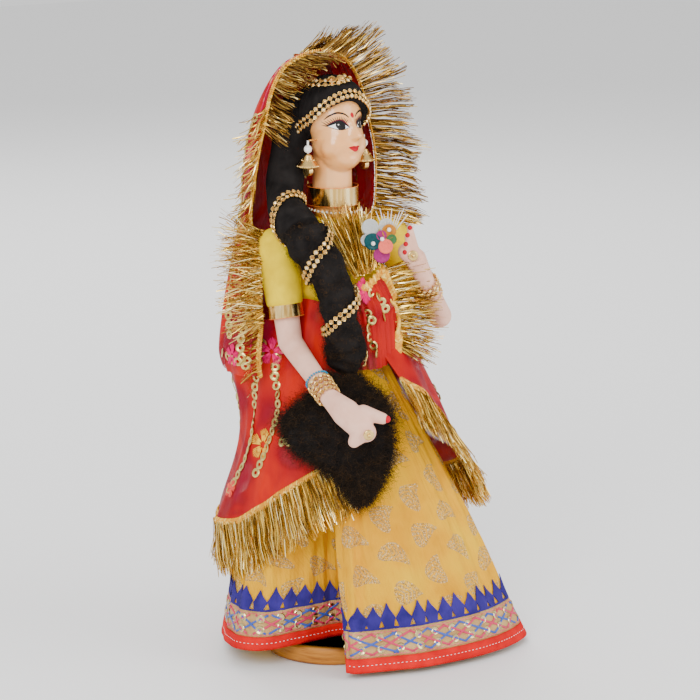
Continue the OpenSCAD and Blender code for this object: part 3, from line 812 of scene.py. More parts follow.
def placed(name, kind, spots, finish, size=1.0, drift=0.0, lean=0.0, curl=0.0,
           fineness=60.0, seed=1):
    """spots is (points in mm, out, across, reach); gives one plain mesh piece."""
    points, out, across, reach = spots
    guide = bpy.data.meshes.new("guide")
    guide.from_pydata((np.asarray(points) * MM).tolist(), [], [])
    for key, value in (("out", out), ("across", across)):
        values = np.broadcast_to(np.asarray(value, np.float32), (len(points), 3))
        made = guide.attributes.new(key, "FLOAT_VECTOR", "POINT")
        made.data.foreach_set("vector", np.ascontiguousarray(values).ravel())
    made = guide.attributes.new("reach", "FLOAT", "POINT")
    made.data.foreach_set("value", np.ascontiguousarray(
        np.broadcast_to(np.asarray(reach, np.float32), len(points))))
    obj = linked(name, guide)
    modifier = obj.modifiers.new("set", "NODES")
    modifier.node_group = SETTING
    for key, value in (("Piece", SHAPES[kind]), ("Finish", FINISH[finish]),
                       ("Size", size), ("Size Drift", drift), ("Lean", lean),
                       ("Curl", curl), ("Curl Fineness", fineness), ("Seed", seed)):
        modifier[SOCKETS[key]] = value
    return settled(obj)


def many(*sets):
    """Several sets of spots as one."""
    full = []
    for points, out, across, reach in sets:
        n = len(points)
        full.append((np.asarray(points, float), np.broadcast_to(out, (n, 3)),
                     np.broadcast_to(across, (n, 3)), np.broadcast_to(reach, n)))
    return tuple(np.concatenate([f[k] for f in full]) for k in range(4))


def coat(obj, finish):
    """Gives an object one finish in place of those it has."""
    obj.data.materials.clear()
    obj.data.materials.append(FINISH[finish])


def repaint(node, finish):
    """Gives a CAD node its finish where its own shape is kept."""
    coat(NODES[node], finish)


def sew(obj, body, *nodes, slot=None):
    """Rides on a body and stands for CAD nodes."""
    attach(obj, body)
    if nodes:
        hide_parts(*nodes)
    return obj


def patch(grid, closed=False):
    """A sheet's points and outward normals, looked up by row and column share."""
    normals = grid_normals(grid, closed)
    rows, columns = grid.shape[:2]

    def at(row, column):
        r = np.clip(np.asarray(row, float), 0, 1) * (rows - 1)
        c = np.asarray(column, float) * (columns if closed else columns - 1)
        r0 = np.minimum(np.floor(r).astype(int), rows - 2)
        c0 = np.floor(c).astype(int)
        if not closed:
            c0 = np.clip(c0, 0, columns - 2)
        fr, fc = (r - r0)[..., None], (c - c0)[..., None]
        c1 = (c0 + 1) % columns
        c0 = c0 % columns
        found = []
        for table in (grid, normals):
            low = table[r0, c0] * (1 - fc) + table[r0, c1] * fc
            high = table[r0 + 1, c0] * (1 - fc) + table[r0 + 1, c1] * fc
            found.append(low * (1 - fr) + high * fr)
        return found[0], unit(found[1])
    return at


# ---------- skirt ----------
HEM = [
    (-34, -58, 4, -122), (-16, -67, 4, -104), (10, -77, 4, -83), (47, -82, 4, -60),
    (80, -78, 4, -45), (100, -64, 4, -33), (102, -34, 5, -17), (92, 5, 6, 5),
    (70, 42, 6, 31), (35, 66, 6, 62), (-5, 74, 6, 94), (-37, 58, 8, 122),
    (-59, 32, 10, 150), (-71, 5, 12, 174), (-62, -12, 13, 190), (-30, -17, 13.5, 206),
    (-9, -21, 13.5, 218), (-14, -38, 13.5, 227), (-32, -53, 6, 234)]
WAIST_R, WAIST_Z, SLANT = 27, 186, 200
HEM_STEPS, SKIRT_ROWS = 640, 110
SEAM_SHARE = 0.62
# Heights of the trims up the slant, and how far apart their parts are
BINDING_H, LACE_H, PEAK_H = 9, 17.5, 15.5
RUNNING_PITCH, EDGE_PITCH, CELL_PITCH, PEAK_PITCH = 2.6, 2.1, 24.5, 10.2
# The row whose length is taken as the hem's
HEM_ROW = 8


def skirt_grid():
    """Rows from hem to waist, with soft pleats that fade towards the waist."""
    spots = np.array(HEM, float)
    whole_turn = np.arange(len(spots)) * 360 / len(spots)
    spots[:, 3] -= whole_turn
    hem = spline(spots, HEM_STEPS, True)
    hem[:, 3] += np.arange(HEM_STEPS) * 360 / HEM_STEPS
    angle = np.radians(hem[:, 3])
    waist = np.stack([WAIST_R * np.cos(angle), WAIST_R * np.sin(angle),
                      np.full(HEM_STEPS, float(WAIST_Z))], 1)
    share = np.linspace(0, 1, SKIRT_ROWS)[:, None, None]
    grid = hem[None, :, :3] * (1 - share) + waist[None] * share
    normals = grid_normals(grid, True)
    turn = once_round(HEM_STEPS)[None, :]
    up = share[:, :, 0]
    pleat = np.sin(turn * 19 + 2.2 * np.sin(turn * 3) + up * 2.5)
    pleat += 0.6 * np.sin(turn * 34 + 1.7 * np.sin(turn * 5) - up * 4)
    crinkle = np.sin(turn * 150 + up * 55 + 3 * np.sin(turn * 17))
    low = np.minimum(up / 0.25, 1)
    push = 1.5 * pleat * (0.35 + 0.65 * low) * (1 - 0.45 * up)
    push = push * (0.35 + 0.65 * low) + 0.16 * crinkle * low
    belly = 3.0 * np.sin(up * math.pi) ** 2
    return grid + normals * (push + belly)[..., None]


def wall(grid, at_offset, finish, name, low, high, rows, thick):
    """A trim that lies on the skirt between two shares of its slant."""
    at = patch(grid, True)
    row = np.linspace(low, high, rows)[:, None]
    column = (np.arange(HEM_STEPS) / HEM_STEPS)[None, :]
    place, out = at(row + 0 * column, column + 0 * row)
    outer = place + out * (at_offset + thick)
    inner = place + out * at_offset
    ring = np.concatenate([outer, inner[::-1]])
    faces = grid_faces(2 * rows, HEM_STEPS, True)
    last = (2 * rows - 1) * HEM_STEPS
    faces += [[last + j, last + (j + 1) % HEM_STEPS, (j + 1) % HEM_STEPS, j]
              for j in range(HEM_STEPS)]
    return piece(name, ring.reshape(-1, 3), faces, finish)


def hem_length(grid):
    ring = grid[HEM_ROW]
    return float(np.linalg.norm(np.roll(ring, -1, 0) - ring, axis=1).sum())


def round_hem(grid, height, count, offset=0.0):
    """Spots at even steps round the skirt at a height up its slant."""
    at = patch(grid, True)
    ring = grid[int(height / SLANT * (SKIRT_ROWS - 1))]
    step = np.linalg.norm(np.roll(ring, -1, 0) - ring, axis=1)
    along = np.concatenate([[0], np.cumsum(step)])
    where = (np.arange(count) + 0.5 + offset) / count * along[-1] % along[-1]
    column = np.interp(where, along, np.arange(HEM_STEPS + 1)) / HEM_STEPS
    place, out = at(np.full(count, height / SLANT), column)
    ahead, _ = at(np.full(count, height / SLANT), column + 0.002)
    return place, out, unit(ahead - place), column


def skirt():
    grid = skirt_grid()
    turned = np.roll(grid, -int(HEM_STEPS * SEAM_SHARE), 1)
    uv = cloth_uv(turned)
    cloth = sheet_piece("skirt_cloth", turned, "cotton", uv, True)
    sew(cloth, "stand", "skirt", slot="skirt_cotton")
    trims = hem_trims(grid)


def hem_trims(grid):
    binding = wall(grid, 0.3, "binding", "hem_binding_tape", 0.0, BINDING_H / SLANT,
                   5, 0.9)
    lace = wall(grid, 0.25, "lace", "mirror_lace_ground", BINDING_H / SLANT,
                (BINDING_H + LACE_H) / SLANT, 8, 0.5)
    sew(binding, "stand", "hem_binding", slot="red_binding")
    sew(lace, "stand", "mirror_lace", slot="mirror_lace")
    peaks = sew(applique(grid), "stand", "zigzag_band", slot="blue_applique")
    small = [running_stitch(grid), lace_edge_stitch(grid), *lace_crosses(grid),
             lace_mirrors(grid)]
    return [binding, lace, peaks, *small]


def running_stitch(grid):
    count = int(hem_length(grid) / RUNNING_PITCH)
    place, out, way, _ = round_hem(grid, 4.6, count)
    return sew(placed("running_stitch", "stitch", (place + out * 1.25, out, way, 1),
                      "white_thread", size=0.8, seed=3), "stand")


def lace_edge_stitch(grid):
    rows = []
    for height in (BINDING_H + 1.5, BINDING_H + LACE_H - 1.6):
        count = int(hem_length(grid) / EDGE_PITCH)
        place, out, way, _ = round_hem(grid, height, count)
        rows.append((place + out * 0.85, out, way, 1))
    return sew(placed("lace_edge_stitch", "stitch", many(*rows), "rose_thread",
                      size=1.05, lean=0.25, seed=5), "stand")


def lace_mirrors(grid):
    """Two rows of mirror discs between the crossing threads."""
    cells = lace_cells(grid)
    rows = []
    for height in (BINDING_H + 5.2, BINDING_H + 12.4):
        place, out, way, _ = round_hem(grid, height, cells * 2)
        rows.append((place + out * 0.75, out, way, 1))
    return sew(placed("lace_mirrors", "mirror", many(*rows), "mirror", drift=0.08,
                      lean=0.12, seed=8), "stand", slot="gilt_metal")


def half_steps(columns):
    """Half the step between neighbours, where shares run round the skirt."""
    return ((np.roll(columns, -1) - np.roll(columns, 1)) % 1) / 4


def lace_cells(grid):
    return round(hem_length(grid) / CELL_PITCH)


def lace_crosses(grid):
    """Long threads that cross in the lace: blue, and rose half a step along."""
    at = patch(grid, True)
    cells = lace_cells(grid)
    made = []
    low, high = BINDING_H + 2.2, BINDING_H + LACE_H - 2.4
    steps = 12
    for name, finish, shift in (("blue_crosses", "blue_thread", 0.0),
                                ("rose_crosses", "rose_thread", 0.5)):
        parts = []
        _, _, _, middle = round_hem(grid, low, cells, shift)
        for column, half in zip(middle, half_steps(middle)):
            for side in (-1, 1):
                t = np.linspace(0, 1, steps)
                c = column + side * half * (2 * t - 1) * 0.96
                place, out = at((low + (high - low) * t) / SLANT, c)
                parts.append(ribbon(place + out * 1.05, out, 1.15, 0.45))
        points, faces = joined(parts)
        made.append(sew(piece(name, points, faces, finish), "stand"))
    return made


def ribbon(line, out, width, thick):
    """A flat band along a line: (points, faces)."""
    side = unit(np.cross(out, ways(line)))
    rows = [line + side * width / 2 + out * thick / 2,
            line - side * width / 2 + out * thick / 2,
            line - side * width / 2 - out * thick / 2,
            line + side * width / 2 - out * thick / 2]
    points = np.stack(rows, 1).reshape(-1, 3)
    n = len(points)
    faces = grid_faces(len(line), 4, True)
    return points, faces + [[3, 2, 1, 0], [n - 4, n - 3, n - 2, n - 1]]


def applique(grid):
    """Blue peaks on a narrow foot, with a small gap between each pair."""
    at = patch(grid, True)
    base = BINDING_H + LACE_H
    count = round(hem_length(grid) / PEAK_PITCH)
    outline = [(0.0, 1.04), (1.3, 1.04), (1.35, 0.66), (5.0, 0.9), (6.4, 1.05),
               (9.3, 0.68), (12.4, 0.30), (PEAK_H, 0.02)]
    _, _, _, columns = round_hem(grid, base, count)
    parts = []
    for k, (column, half) in enumerate(zip(columns, half_steps(columns))):
        lean = 0.12 * math.sin(k * 2.3)
        tall = 1 + 0.07 * math.sin(k * 3.7)
        across = np.linspace(-1, 1, 5)
        rows, outs = [], []
        for h, w in outline:
            c = column + half * (w * across + lean * h / PEAK_H)
            place, out = at(np.full(5, (base + h * tall) / SLANT), c)
            rows.append(place + out * 1.0)
            outs.append(out)
        front = np.array(rows)
        back = front - np.array(outs) * 0.5
        m = len(outline)
        points = np.concatenate([front.reshape(-1, 3), back.reshape(-1, 3)])
        faces = grid_faces(m, 5)
        faces += [[f[k] + m * 5 for k in (3, 2, 1, 0)] for f in grid_faces(m, 5)]
        ring = ([*range(5)] + [5 * i + 4 for i in range(1, m)]
                + [5 * (m - 1) + j for j in (3, 2, 1, 0)]
                + [5 * i for i in range(m - 2, 0, -1)])
        faces += [[b, a, a + m * 5, b + m * 5]
                  for a, b in zip(ring, ring[1:] + ring[:1])]
        parts.append((points, faces))
    points, faces = joined(parts)
    return piece("applique_peaks", points, faces, "applique", smooth=False)


# ---------- veil ----------
SPLIT_Z = 270
# Rows of the veil: height, centre x and y, half width and depth, arc ends
VEIL_ROWS = [
    (175, -8, 22, 50, 35.5, 0, 210), (187, -8, 22, 52.5, 37.5, 0, 210),
    (215, -8, 22, 49, 34, 0, 210), (254, -7, 19, 41, 35, -8, 189),
    (SPLIT_Z, -6, 16.5, 41, 38, -30, 179),
    (300, -5, 14, 38, 40, -26, 177), (322, -5, 12, 33, 38, -20, 175),
    (342, -5, 9, 28, 30, -14, 170), (355, -7, 5, 20, 21, -12, 166),
    (361.4, -7, 3, 10, 11, -10, 170), (363.4, -7, 3, 0.6, 0.6, -10, 170)]
HIP_TOP = [
    (9, -34, 188), (31, -27, 194), (46, -6, 204), (44, 22, 204), (18, 48, 196),
    (-12, 57, 190), (-40, 49, 190), (-56, 28, 192), (-46, 9, 206), (-33, -3, 219),
    (-27.5, -15, 221), (-19, -27.5, 215)]
HIP_HEM = [
    (12, -47, 174), (31, -54, 160), (49, -49, 139), (66, -43, 121), (80, -18, 106),
    (74, 18, 96), (48, 52, 90), (8, 70, 86), (-34, 62, 84), (-60, 36, 84),
    (-64, 14, 88), (-59, -4, 99), (-46, -24, 116), (-20, -40, 133)]


def ripple(grid, deep, folds, seed):
    """Pushes a sheet in and out in soft upright folds."""
    normals = grid_normals(grid)
    rows, columns = grid.shape[:2]
    up = np.linspace(0, 1, rows)[:, None]
    across = np.linspace(0, 1, columns)[None, :]
    rng = random.Random(seed)
    push = np.zeros((rows, columns))
    for k in range(4):
        count = folds * (0.5 + 0.45 * k)
        phase, slope = rng.uniform(0, 6.3), rng.uniform(-5, 5)
        push += np.sin(2 * math.pi * count * across + phase
                       + slope * up) / (1 + 0.7 * k)
    edge = np.minimum(1, np.minimum(across, 1 - across) / 0.04)
    return grid + normals * (deep * push * edge)[..., None]


def veil_grid():
    rows = spline(VEIL_ROWS, 120)
    share = np.linspace(0, 1, 170)[None, :]
    a = np.radians(rows[:, 5:6] + (rows[:, 6:7] - rows[:, 5:6]) * share)
    grid = np.stack([rows[:, 1:2] + rows[:, 3:4] * np.cos(a),
                     rows[:, 2:3] + rows[:, 4:5] * np.sin(a),
                     rows[:, 0:1] + 0 * a], -1)
    return ripple(grid, 0.9, 9, 4)


def hips_grid():
    low, high = spline(HIP_HEM, 200), spline(HIP_TOP, 200)
    share = np.linspace(0, 1, 60)[:, None, None]
    grid = low[None] * (1 - share) + high[None] * share
    back = np.clip((grid[..., 1:2] + grid[..., 0:1] * -0.4 - 10) / 30, 0, 1)
    pinch = 9.0 * np.sin(math.pi * share) ** 1.5 * back
    grid = grid - grid_normals(grid) * pinch
    return ripple(grid, 0.9, 11, 7)


def veil():
    grid = veil_grid()
    cloth = sheet_piece("veil_cloth", grid, "organza", cloth_uv(grid))
    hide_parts("veil_hood", "veil_back")
    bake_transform(cloth)
    trims = veil_edges(grid) + veil_sequins(grid)
    hips = hips_grid()
    wrap = sheet_piece("veil_wrap", hips, "organza", cloth_uv(hips))
    sew(wrap, "stand", "veil_hips", slot="red_organza")
    more = hip_sequins(hips) + [hem_braid(hips)]


def two_bodies(name, make, spots, slot=None):
    """Small pieces above the collar ride on the head and those below on the stand."""
    height = spots[0][:, 2]
    made = []
    for part, body, keep in (("upper", "head", height >= SPLIT_Z),
                             ("lower", "stand", height < SPLIT_Z)):
        if keep.any():
            some = tuple(np.asarray(s)[keep] for s in spots)
            made.append(sew(make(f"{name}_{part}", some), body, slot=slot))
    return made


def full(points, out, across, reach=1.0):
    n = len(points)
    return (np.asarray(points, float), np.broadcast_to(out, (n, 3)).copy(),
            np.broadcast_to(across, (n, 3)).copy(),
            np.broadcast_to(np.asarray(reach, float), n).copy())


def braid_spots(line, out, step=1.25):
    """Slanting threads, alternately left and right, for a flat plaited braid."""
    track = even(np.concatenate([line, out], 1), step)
    place, out = track[:, :3], unit(track[:, 3:])
    way = ways(place)
    side = np.cross(out, way)
    rows = []
    for turn in (-1, 1):
        lean = unit(way + side * turn * 1.1)
        rows.append(full(place + side * turn * 0.75 + out * 0.7, out, lean))
    return many(*rows)


def veil_edges(grid):
    """The plaited braid and the rose stripe along both front edges."""
    normals = grid_normals(grid)
    made = []
    for side, column in (("near", -1), ("far", 0)):
        line, out = grid[:, column], normals[:, column]
        inset = normals[:, column] * 0.3
        made += two_bodies(f"{side}_edge_braid", lambda n, s: placed(
            n, "braid", s, "braid", size=0.95, drift=0.1, lean=0.1, seed=21),
            braid_spots(line + inset, out))
        stripe = grid[:, -7 if column else 6] + out * 0.5
        points = even(np.concatenate([stripe, out], 1), 0.7)
        made += two_bodies(f"{side}_edge_stripe", lambda n, s: placed(
            n, "satin", s, "pink_thread", size=0.6, lean=0.15, seed=22),
            full(points[:, :3], unit(points[:, 3:]), ways(points[:, :3])))
    return made


def trail(at, route, step=5.6):
    """Spots at even steps along a route of (row, column) shares on a sheet."""
    route = spline(route, 200)
    place, out = at(route[:, 0], route[:, 1])
    track = even(np.concatenate([place, out], 1), step)
    return full(track[:, :3] + unit(track[:, 3:]) * 0.35, unit(track[:, 3:]),
                ways(track[:, :3]))


def veil_sequins(grid):
    at = patch(grid)
    routes = [
        [(0.97, 0.93), (0.88, 0.92), (0.78, 0.91), (0.66, 0.93)],
        [(0.62, 0.86), (0.50, 0.80), (0.40, 0.86), (0.28, 0.78), (0.14, 0.84)],
        [(0.05, 0.95), (0.14, 0.92), (0.22, 0.97)],
        [(0.09, 0.97), (0.085, 0.88), (0.10, 0.78)],
        [(0.90, 0.62), (0.74, 0.55), (0.60, 0.62), (0.44, 0.55), (0.25, 0.62)],
        [(0.92, 0.40), (0.70, 0.34), (0.52, 0.42), (0.34, 0.34), (0.12, 0.42)],
        [(0.80, 0.16), (0.62, 0.22), (0.44, 0.14), (0.22, 0.22), (0.06, 0.15)]]
    spots = many(*[trail(at, r) for r in routes])
    made = two_bodies("veil_sequins", lambda n, s: placed(
        n, "sequin", s, "sequin", size=0.98, lean=0.16, seed=31), spots)
    for k, (row, column, finish) in enumerate((
            (0.10, 0.88, "pink_thread"), (0.42, 0.70, "orange_thread"),
            (0.52, 0.93, "red_thread"), (0.20, 0.50, "yellow_thread"),
            (0.30, 0.25, "pink_thread"), (0.66, 0.48, "pink_thread"))):
        made += two_bodies(f"veil_flower_{k}", lambda n, s: placed(
            n, "satin", s, finish, size=0.95, lean=0.12, seed=40 + k),
            flower(at, row, column, 7.0))
    return made


def flower(at, row, column, radius, petals=5, turn=0.3):
    """Satin stitches in petals round a middle, laid on a sheet."""
    middle, out = (v[0] for v in at(np.array([row]), np.array([column])))
    across = unit(np.cross((0, 0, 1.0), out))
    up = np.cross(out, across)
    points, ways_out = [], []
    for k in range(petals):
        heading = turn + 2 * math.pi * k / petals
        for j in range(7):
            a = heading + (j - 3) * 0.13
            for r in (0.42, 0.78):
                reach = radius * r * (1 - 0.06 * abs(j - 3))
                spoke = across * math.cos(a) + up * math.sin(a)
                points.append(middle + spoke * reach + out * 0.75)
                ways_out.append(spoke)
    return full(np.array(points), out, np.array(ways_out))


def hip_sequins(grid):
    at = patch(grid)
    routes = [
        [(0.95, 0.84), (0.70, 0.80), (0.45, 0.84), (0.18, 0.79)],
        [(0.90, 0.74), (0.62, 0.72), (0.40, 0.75), (0.14, 0.71)],
        [(0.30, 0.86), (0.24, 0.93), (0.36, 0.96)],
        [(0.90, 0.20), (0.62, 0.26), (0.36, 0.20), (0.12, 0.27)],
        [(0.85, 0.40), (0.55, 0.46), (0.25, 0.40)],
        [(0.85, 0.58), (0.50, 0.62), (0.20, 0.56)]]
    spots = many(*[trail(at, r) for r in routes])
    made = [sew(placed("wrap_sequins", "sequin", spots, "sequin", lean=0.16, seed=51),
                "stand")]
    flowers = ((0.34, 0.80, "yellow_thread", 10.5), (0.80, 0.78, "pink_thread", 9.0),
               (0.16, 0.72, "red_thread", 5.0), (0.62, 0.22, "pink_thread", 6.2),
               (0.50, 0.50, "pink_thread", 5.5), (0.45, 0.34, "orange_thread", 5.0))
    for k, (row, column, finish, size) in enumerate(flowers):
        made.append(sew(placed(f"wrap_flower_{k}", "satin",
                               flower(at, row, column, size), finish, lean=0.12,
                               seed=60 + k), "stand"))
    return made


def hem_braid(grid):
    normals = grid_normals(grid)
    return sew(placed("wrap_hem_braid", "braid",
                      braid_spots(grid[0] + (0, 0, -0.6), normals[0]), "braid",
                      size=1.15, drift=0.1, lean=0.1, seed=71),
               "stand", "veil_hem_braid", slot="gold_braid")


# ---------- tinsel ----------
# How fine the strands' curls are
TINSEL_CURLS = 70.0
# Loose pieces lie along these: level, and turned 40 degrees from the doll's own
# left and front, and straight up
RIGHTWARD = np.array([0.766, -0.643, 0.0])
FORWARD = np.array([-0.643, -0.766, 0.0])
UPWARD = np.array([0.0, 0.0, 1.0])


def strands(line, out, lean, reach, step, rows, seed):
    """Root spots along a line, several deep, with the way and length of each."""
    rng = np.random.default_rng(seed)
    track = np.concatenate([line, out, lean, reach[:, None]], 1)
    sets = []
    for row in range(rows):
        some = even(track, step)
        n = len(some)
        root = some[:, :3] + unit(some[:, 3:6]) * (0.3 + 0.5 * row)
        root = root + rng.normal(0, 0.4, (n, 3))
        long = some[:, 9] * rng.uniform(0.72, 1.06, n)
        sets.append((root, unit(some[:, 6:9]), rng.normal(0, 1, (n, 3)), long * MM))
    return many(*sets)


def tinsel(name, spots, finish="tinsel", lean=0.10, curl=0.010, seed=1):
    """Metal film strands: the reach of each spot is its length in metres."""
    return placed(name, "tinsel", spots, finish, lean=lean, curl=curl,
                  fineness=TINSEL_CURLS, seed=seed)


def hood_fringe():
    grid = veil_grid()
    normals = grid_normals(grid)
    z = grid[:, 0, 2]
    rise = np.clip((z - 318) / 42, 0, 1)[:, None]
    drop = np.clip((300 - z) / 60, 0, 1)[:, None]
    far = RIGHTWARD + UPWARD * (0.95 * rise ** 1.3 - 0.12 - 0.1 * drop)
    reach = np.where(z < 215, 20.0, 29.0) - 4 * rise[:, 0]
    # The far, crown and inner fringes take the darker tinsel, which is painted shade;
    # the near fringe stays gold
    made = split_tinsel("far_hood_fringe", clumped(strands(
        grid[:, 0], normals[:, 0], unit(far), reach, 0.55, 4, 81)),
        "shaded_tinsel", 0.07, 82)
    row = grid[-14, :120]
    lean = unit(UPWARD * 0.8 + RIGHTWARD * np.linspace(1.35, 0.55, 120)[:, None])
    made += split_tinsel("crown_fringe", clumped(strands(
        row, normals[-14, :120], lean, np.full(120, 19.0), 0.42, 2, 80)),
        "shaded_tinsel", 0.12, 87)
    near, out = grid[:, -1], normals[:, -1]
    low = np.clip((262 - z) / 25, 0, 1)[:, None]
    back = unit(-RIGHTWARD * (0.8 + 0.5 * low) + UPWARD * (0.25 * rise - 0.75)
                + FORWARD * 0.22)
    below = z < 334
    spots = strands(near[below], out[below], back[below], reach[below] * 0.66,
                    1.0, 2, 83)
    made += split_tinsel("near_hood_fringe", clumped(spots, 6.0, 0.3), "tinsel", 0.45,
                         84)
    top = z > 317
    inner = unit(RIGHTWARD * 1.0 + FORWARD * 0.55 - UPWARD * (0.62 - 0.35 * rise))
    spots = strands(near[top], out[top], inner[top], np.full(top.sum(), 19.0),
                    0.7, 3, 85)
    made += split_tinsel("inner_hood_fringe", spots, "shaded_tinsel", 0.22, 86)
    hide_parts("hood_fringe")
    return made


def clumped(spots, width=4.2, share=0.55):
    """Strands drawn towards their neighbours' mean way, in clumps of a width."""
    points, out, across, reach = (np.array(s) for s in spots)
    clump = np.floor(points[:, 2] / width + 0.6 * np.sin(points[:, 2] * 1.7))
    rng = np.random.default_rng(17)
    for key in np.unique(clump):
        some = clump == key
        middle = points[some].mean(0)
        tips = points[some] + out[some] * reach[some, None] / MM
        target = tips.mean(0) + rng.normal(0, 1.4, 3)
        tips = tips * (1 - share) + target * share + (tips - middle) * 0.12
        out[some] = unit(tips - points[some])
        reach[some] *= rng.uniform(0.78, 1.12)
    return points, out, across, reach


def split_tinsel(name, spots, finish, lean, seed):
    """Tinsel parted at the collar; above it the strands may take the darker copy of the
    gold, which is painted shade, and the part below it is always plain gold.
    """
    def make(part, some):
        colour = finish if part.endswith("upper") else "tinsel"
        return tinsel(part, some, colour, lean, seed=seed)
    return two_bodies(name, make, spots, "gold_tinsel")


def fan(name, roots, tips, count, node, seed, lean=0.10, curl=0.006):
    """Tinsel that runs from one curve to another."""
    rng = np.random.default_rng(seed)
    share = np.sort(rng.uniform(0, 1, count))
    both = []
    for curve in (roots, tips):
        line = spline(curve, 200)
        place = np.stack([np.interp(share, np.linspace(0, 1, 200), line[:, k])
                          for k in range(3)], 1)
        both.append(place)
    start = both[0] + rng.normal(0, 0.5, (count, 3))
    end = both[1] + rng.normal(0, 2.2, (count, 3))
    way = end - start
    reach = np.linalg.norm(way, axis=1) * rng.uniform(0.75, 1.08, count)
    spots = (start, unit(way), rng.normal(0, 1, (count, 3)), reach * MM)
    return sew(tinsel(name, spots, lean=lean, curl=curl, seed=seed), "stand",
               *([node] if node else []), slot="gold_tinsel")


def shoulder_burst():
    """The loose tuft of tinsel that springs from the veil behind the right sleeve."""
    roots = [(-49, 4, 262), (-54, 0, 246), (-57, -4, 228), (-58, -6, 209)]
    tips = [(-68, 20, 265), (-74, 18, 246), (-75, 15, 226), (-71, 11, 201)]
    fan("shoulder_tinsel", roots, tips, 330, None, 91, 0.45)


def bib():
    """The tinsel that stands up over the bodice from the sash's top edge."""
    roots = [(-10, -32, 235), (-2, -34.5, 237), (8.5, -34, 241)]
    tips = [(-25, -16, 268), (-14, -21, 272.5), (-3, -23, 271.5), (7, -26, 267),
            (12, -31, 254)]
    fan("bib_tinsel", roots, tips, 620, "bib_fringe", 101, 0.05)


def sash_tinsel():
    """Tinsel that stands out to the doll's left from the sash's edge braid."""
    roots = [(20, -32, 190), (23, -32.5, 204), (19, -34, 220), (7.5, -37, 238)]
    tips = [(36, -46, 178), (43, -46, 203), (38, -48, 224), (25, -50, 245)]
    fan("sash_tinsel", roots, tips, 460, "sash_fringe", 111, 0.10)


def hem_tinsel():
    """Tinsel that hangs from the veil's hem, over the right and left hips."""
    grid = hips_grid()
    normals = grid_normals(grid)
    n = grid.shape[1]
    made = []
    for name, a, b, node, drop in (
            ("right_hem_tinsel", 0.64, 1.0, "hem_fringe_right", 0.30),
            ("left_hem_tinsel", 0.0, 0.36, "hem_fringe_left", 0.30),
            ("back_hem_tinsel", 0.36, 0.64, None, 0.12)):
        part = slice(int(a * (n - 1)), int(b * (n - 1)) + 1)
        line, out = grid[0, part] + (0, 0, -1.2), normals[0, part]
        lean = unit(-UPWARD + out * 0.22 + RIGHTWARD * drop)
        spots = strands(line, out, lean, np.full(len(line), 33.0), 0.36, 3,
                        121 + len(made))
        obj = tinsel(name, spots, lean=0.07, curl=0.007, seed=131 + len(made))
        made.append(sew(obj, "stand", *([node] if node else []), slot="gold_tinsel"))
    return made


# ---------- bodice and sash ----------
TORSO = [(178, 19, 16, 0), (188, 22, 18, 0), (205, 24, 20, -1), (222, 27, 23, -3),
         (232, 28, 24, -4), (244, 27.6, 20, -2), (254, 28, 16, 0), (261, 24, 14, 1),
         (266, 13, 12, 0)]


def bodice():
    """The stuffed body in its felt blouse, with soft creases at the waist."""
    rows = spline(TORSO, 60)
    a = once_round(90)[None, :]
    crease = 0.35 * np.sin(rows[:, :1] * 0.9 + 2 * np.sin(a * 2))
    grid = np.stack([(rows[:, 1:2] + 1.3 + crease) * np.cos(a),
                     rows[:, 3:4] + (rows[:, 2:3] + 1.3 + crease) * np.sin(a),
                     rows[:, :1] + 0 * a], -1)
    obj = piece("stuffed_bodice", grid.reshape(-1, 3), capped_faces(60, 90), "felt")
    sew(obj, "stand", "blouse", "torso", slot="yellow_felt")


def sash():
    """The pleated organza sash, with its braids, sequins and flower."""
    rows = [
        [(-13, -32.5, 180), (3, -37.5, 179), (21, -34, 182)],
        [(-12, -31, 203), (4, -35.5, 204), (23.5, -31.5, 204)],
        [(-13, -32, 214), (2, -36, 218), (19, -33, 220)],
        [(-15, -32.5, 224), (-3, -36, 230), (7, -36.5, 238)]]
    across = np.array([spline(r, 70) for r in rows])
    grid = np.stack([spline(across[:, j], 60) for j in range(70)], 1)
    up = np.linspace(0, 1, 60)[:, None]
    t = np.linspace(0, 1, 70)[None, :]
    pleats = 0.75 * np.sin(2 * math.pi * (9 * t + 1.4 * up)) * (1 - 0.25 * up)
    grid = grid + grid_normals(grid) * pleats[..., None]
    cloth = sheet_piece("sash_cloth", grid, "organza", cloth_uv(grid))
    sew(cloth, "stand", "sash", slot="red_organza")
    at = patch(grid)
    spots = many(trail(at, [(0.88, 0.45), (0.72, 0.62), (0.52, 0.70), (0.34, 0.60)]),
                 trail(at, [(0.62, 0.30), (0.45, 0.40), (0.30, 0.34), (0.12, 0.5)]))
    sequins = sew(placed("sash_sequins", "sequin", spots, "sequin", lean=0.14,
                         seed=141), "stand")
    braid = sew(placed("sash_edge_braid", "braid",
                       braid_spots(grid[:, -1], grid_normals(grid)[:, -1], 1.0), "braid",
                       size=2.2, lean=0.1, seed=142), "stand", "sash_braid",
                slot="gold_braid")
    top = sew(placed("sash_top_braid", "braid",
                     braid_spots(grid[-1], grid_normals(grid)[-1], 1.0), "braid",
                     size=1.6, lean=0.1, seed=143), "stand", slot="gold_braid")
    bloom = sew(placed("sash_bloom", "satin", flower(at, 0.93, 0.36, 7.5, 6),
                       "pink_thread", size=1.35, lean=0.15, seed=144), "stand",
                "sash_flower", slot="pink_thread")


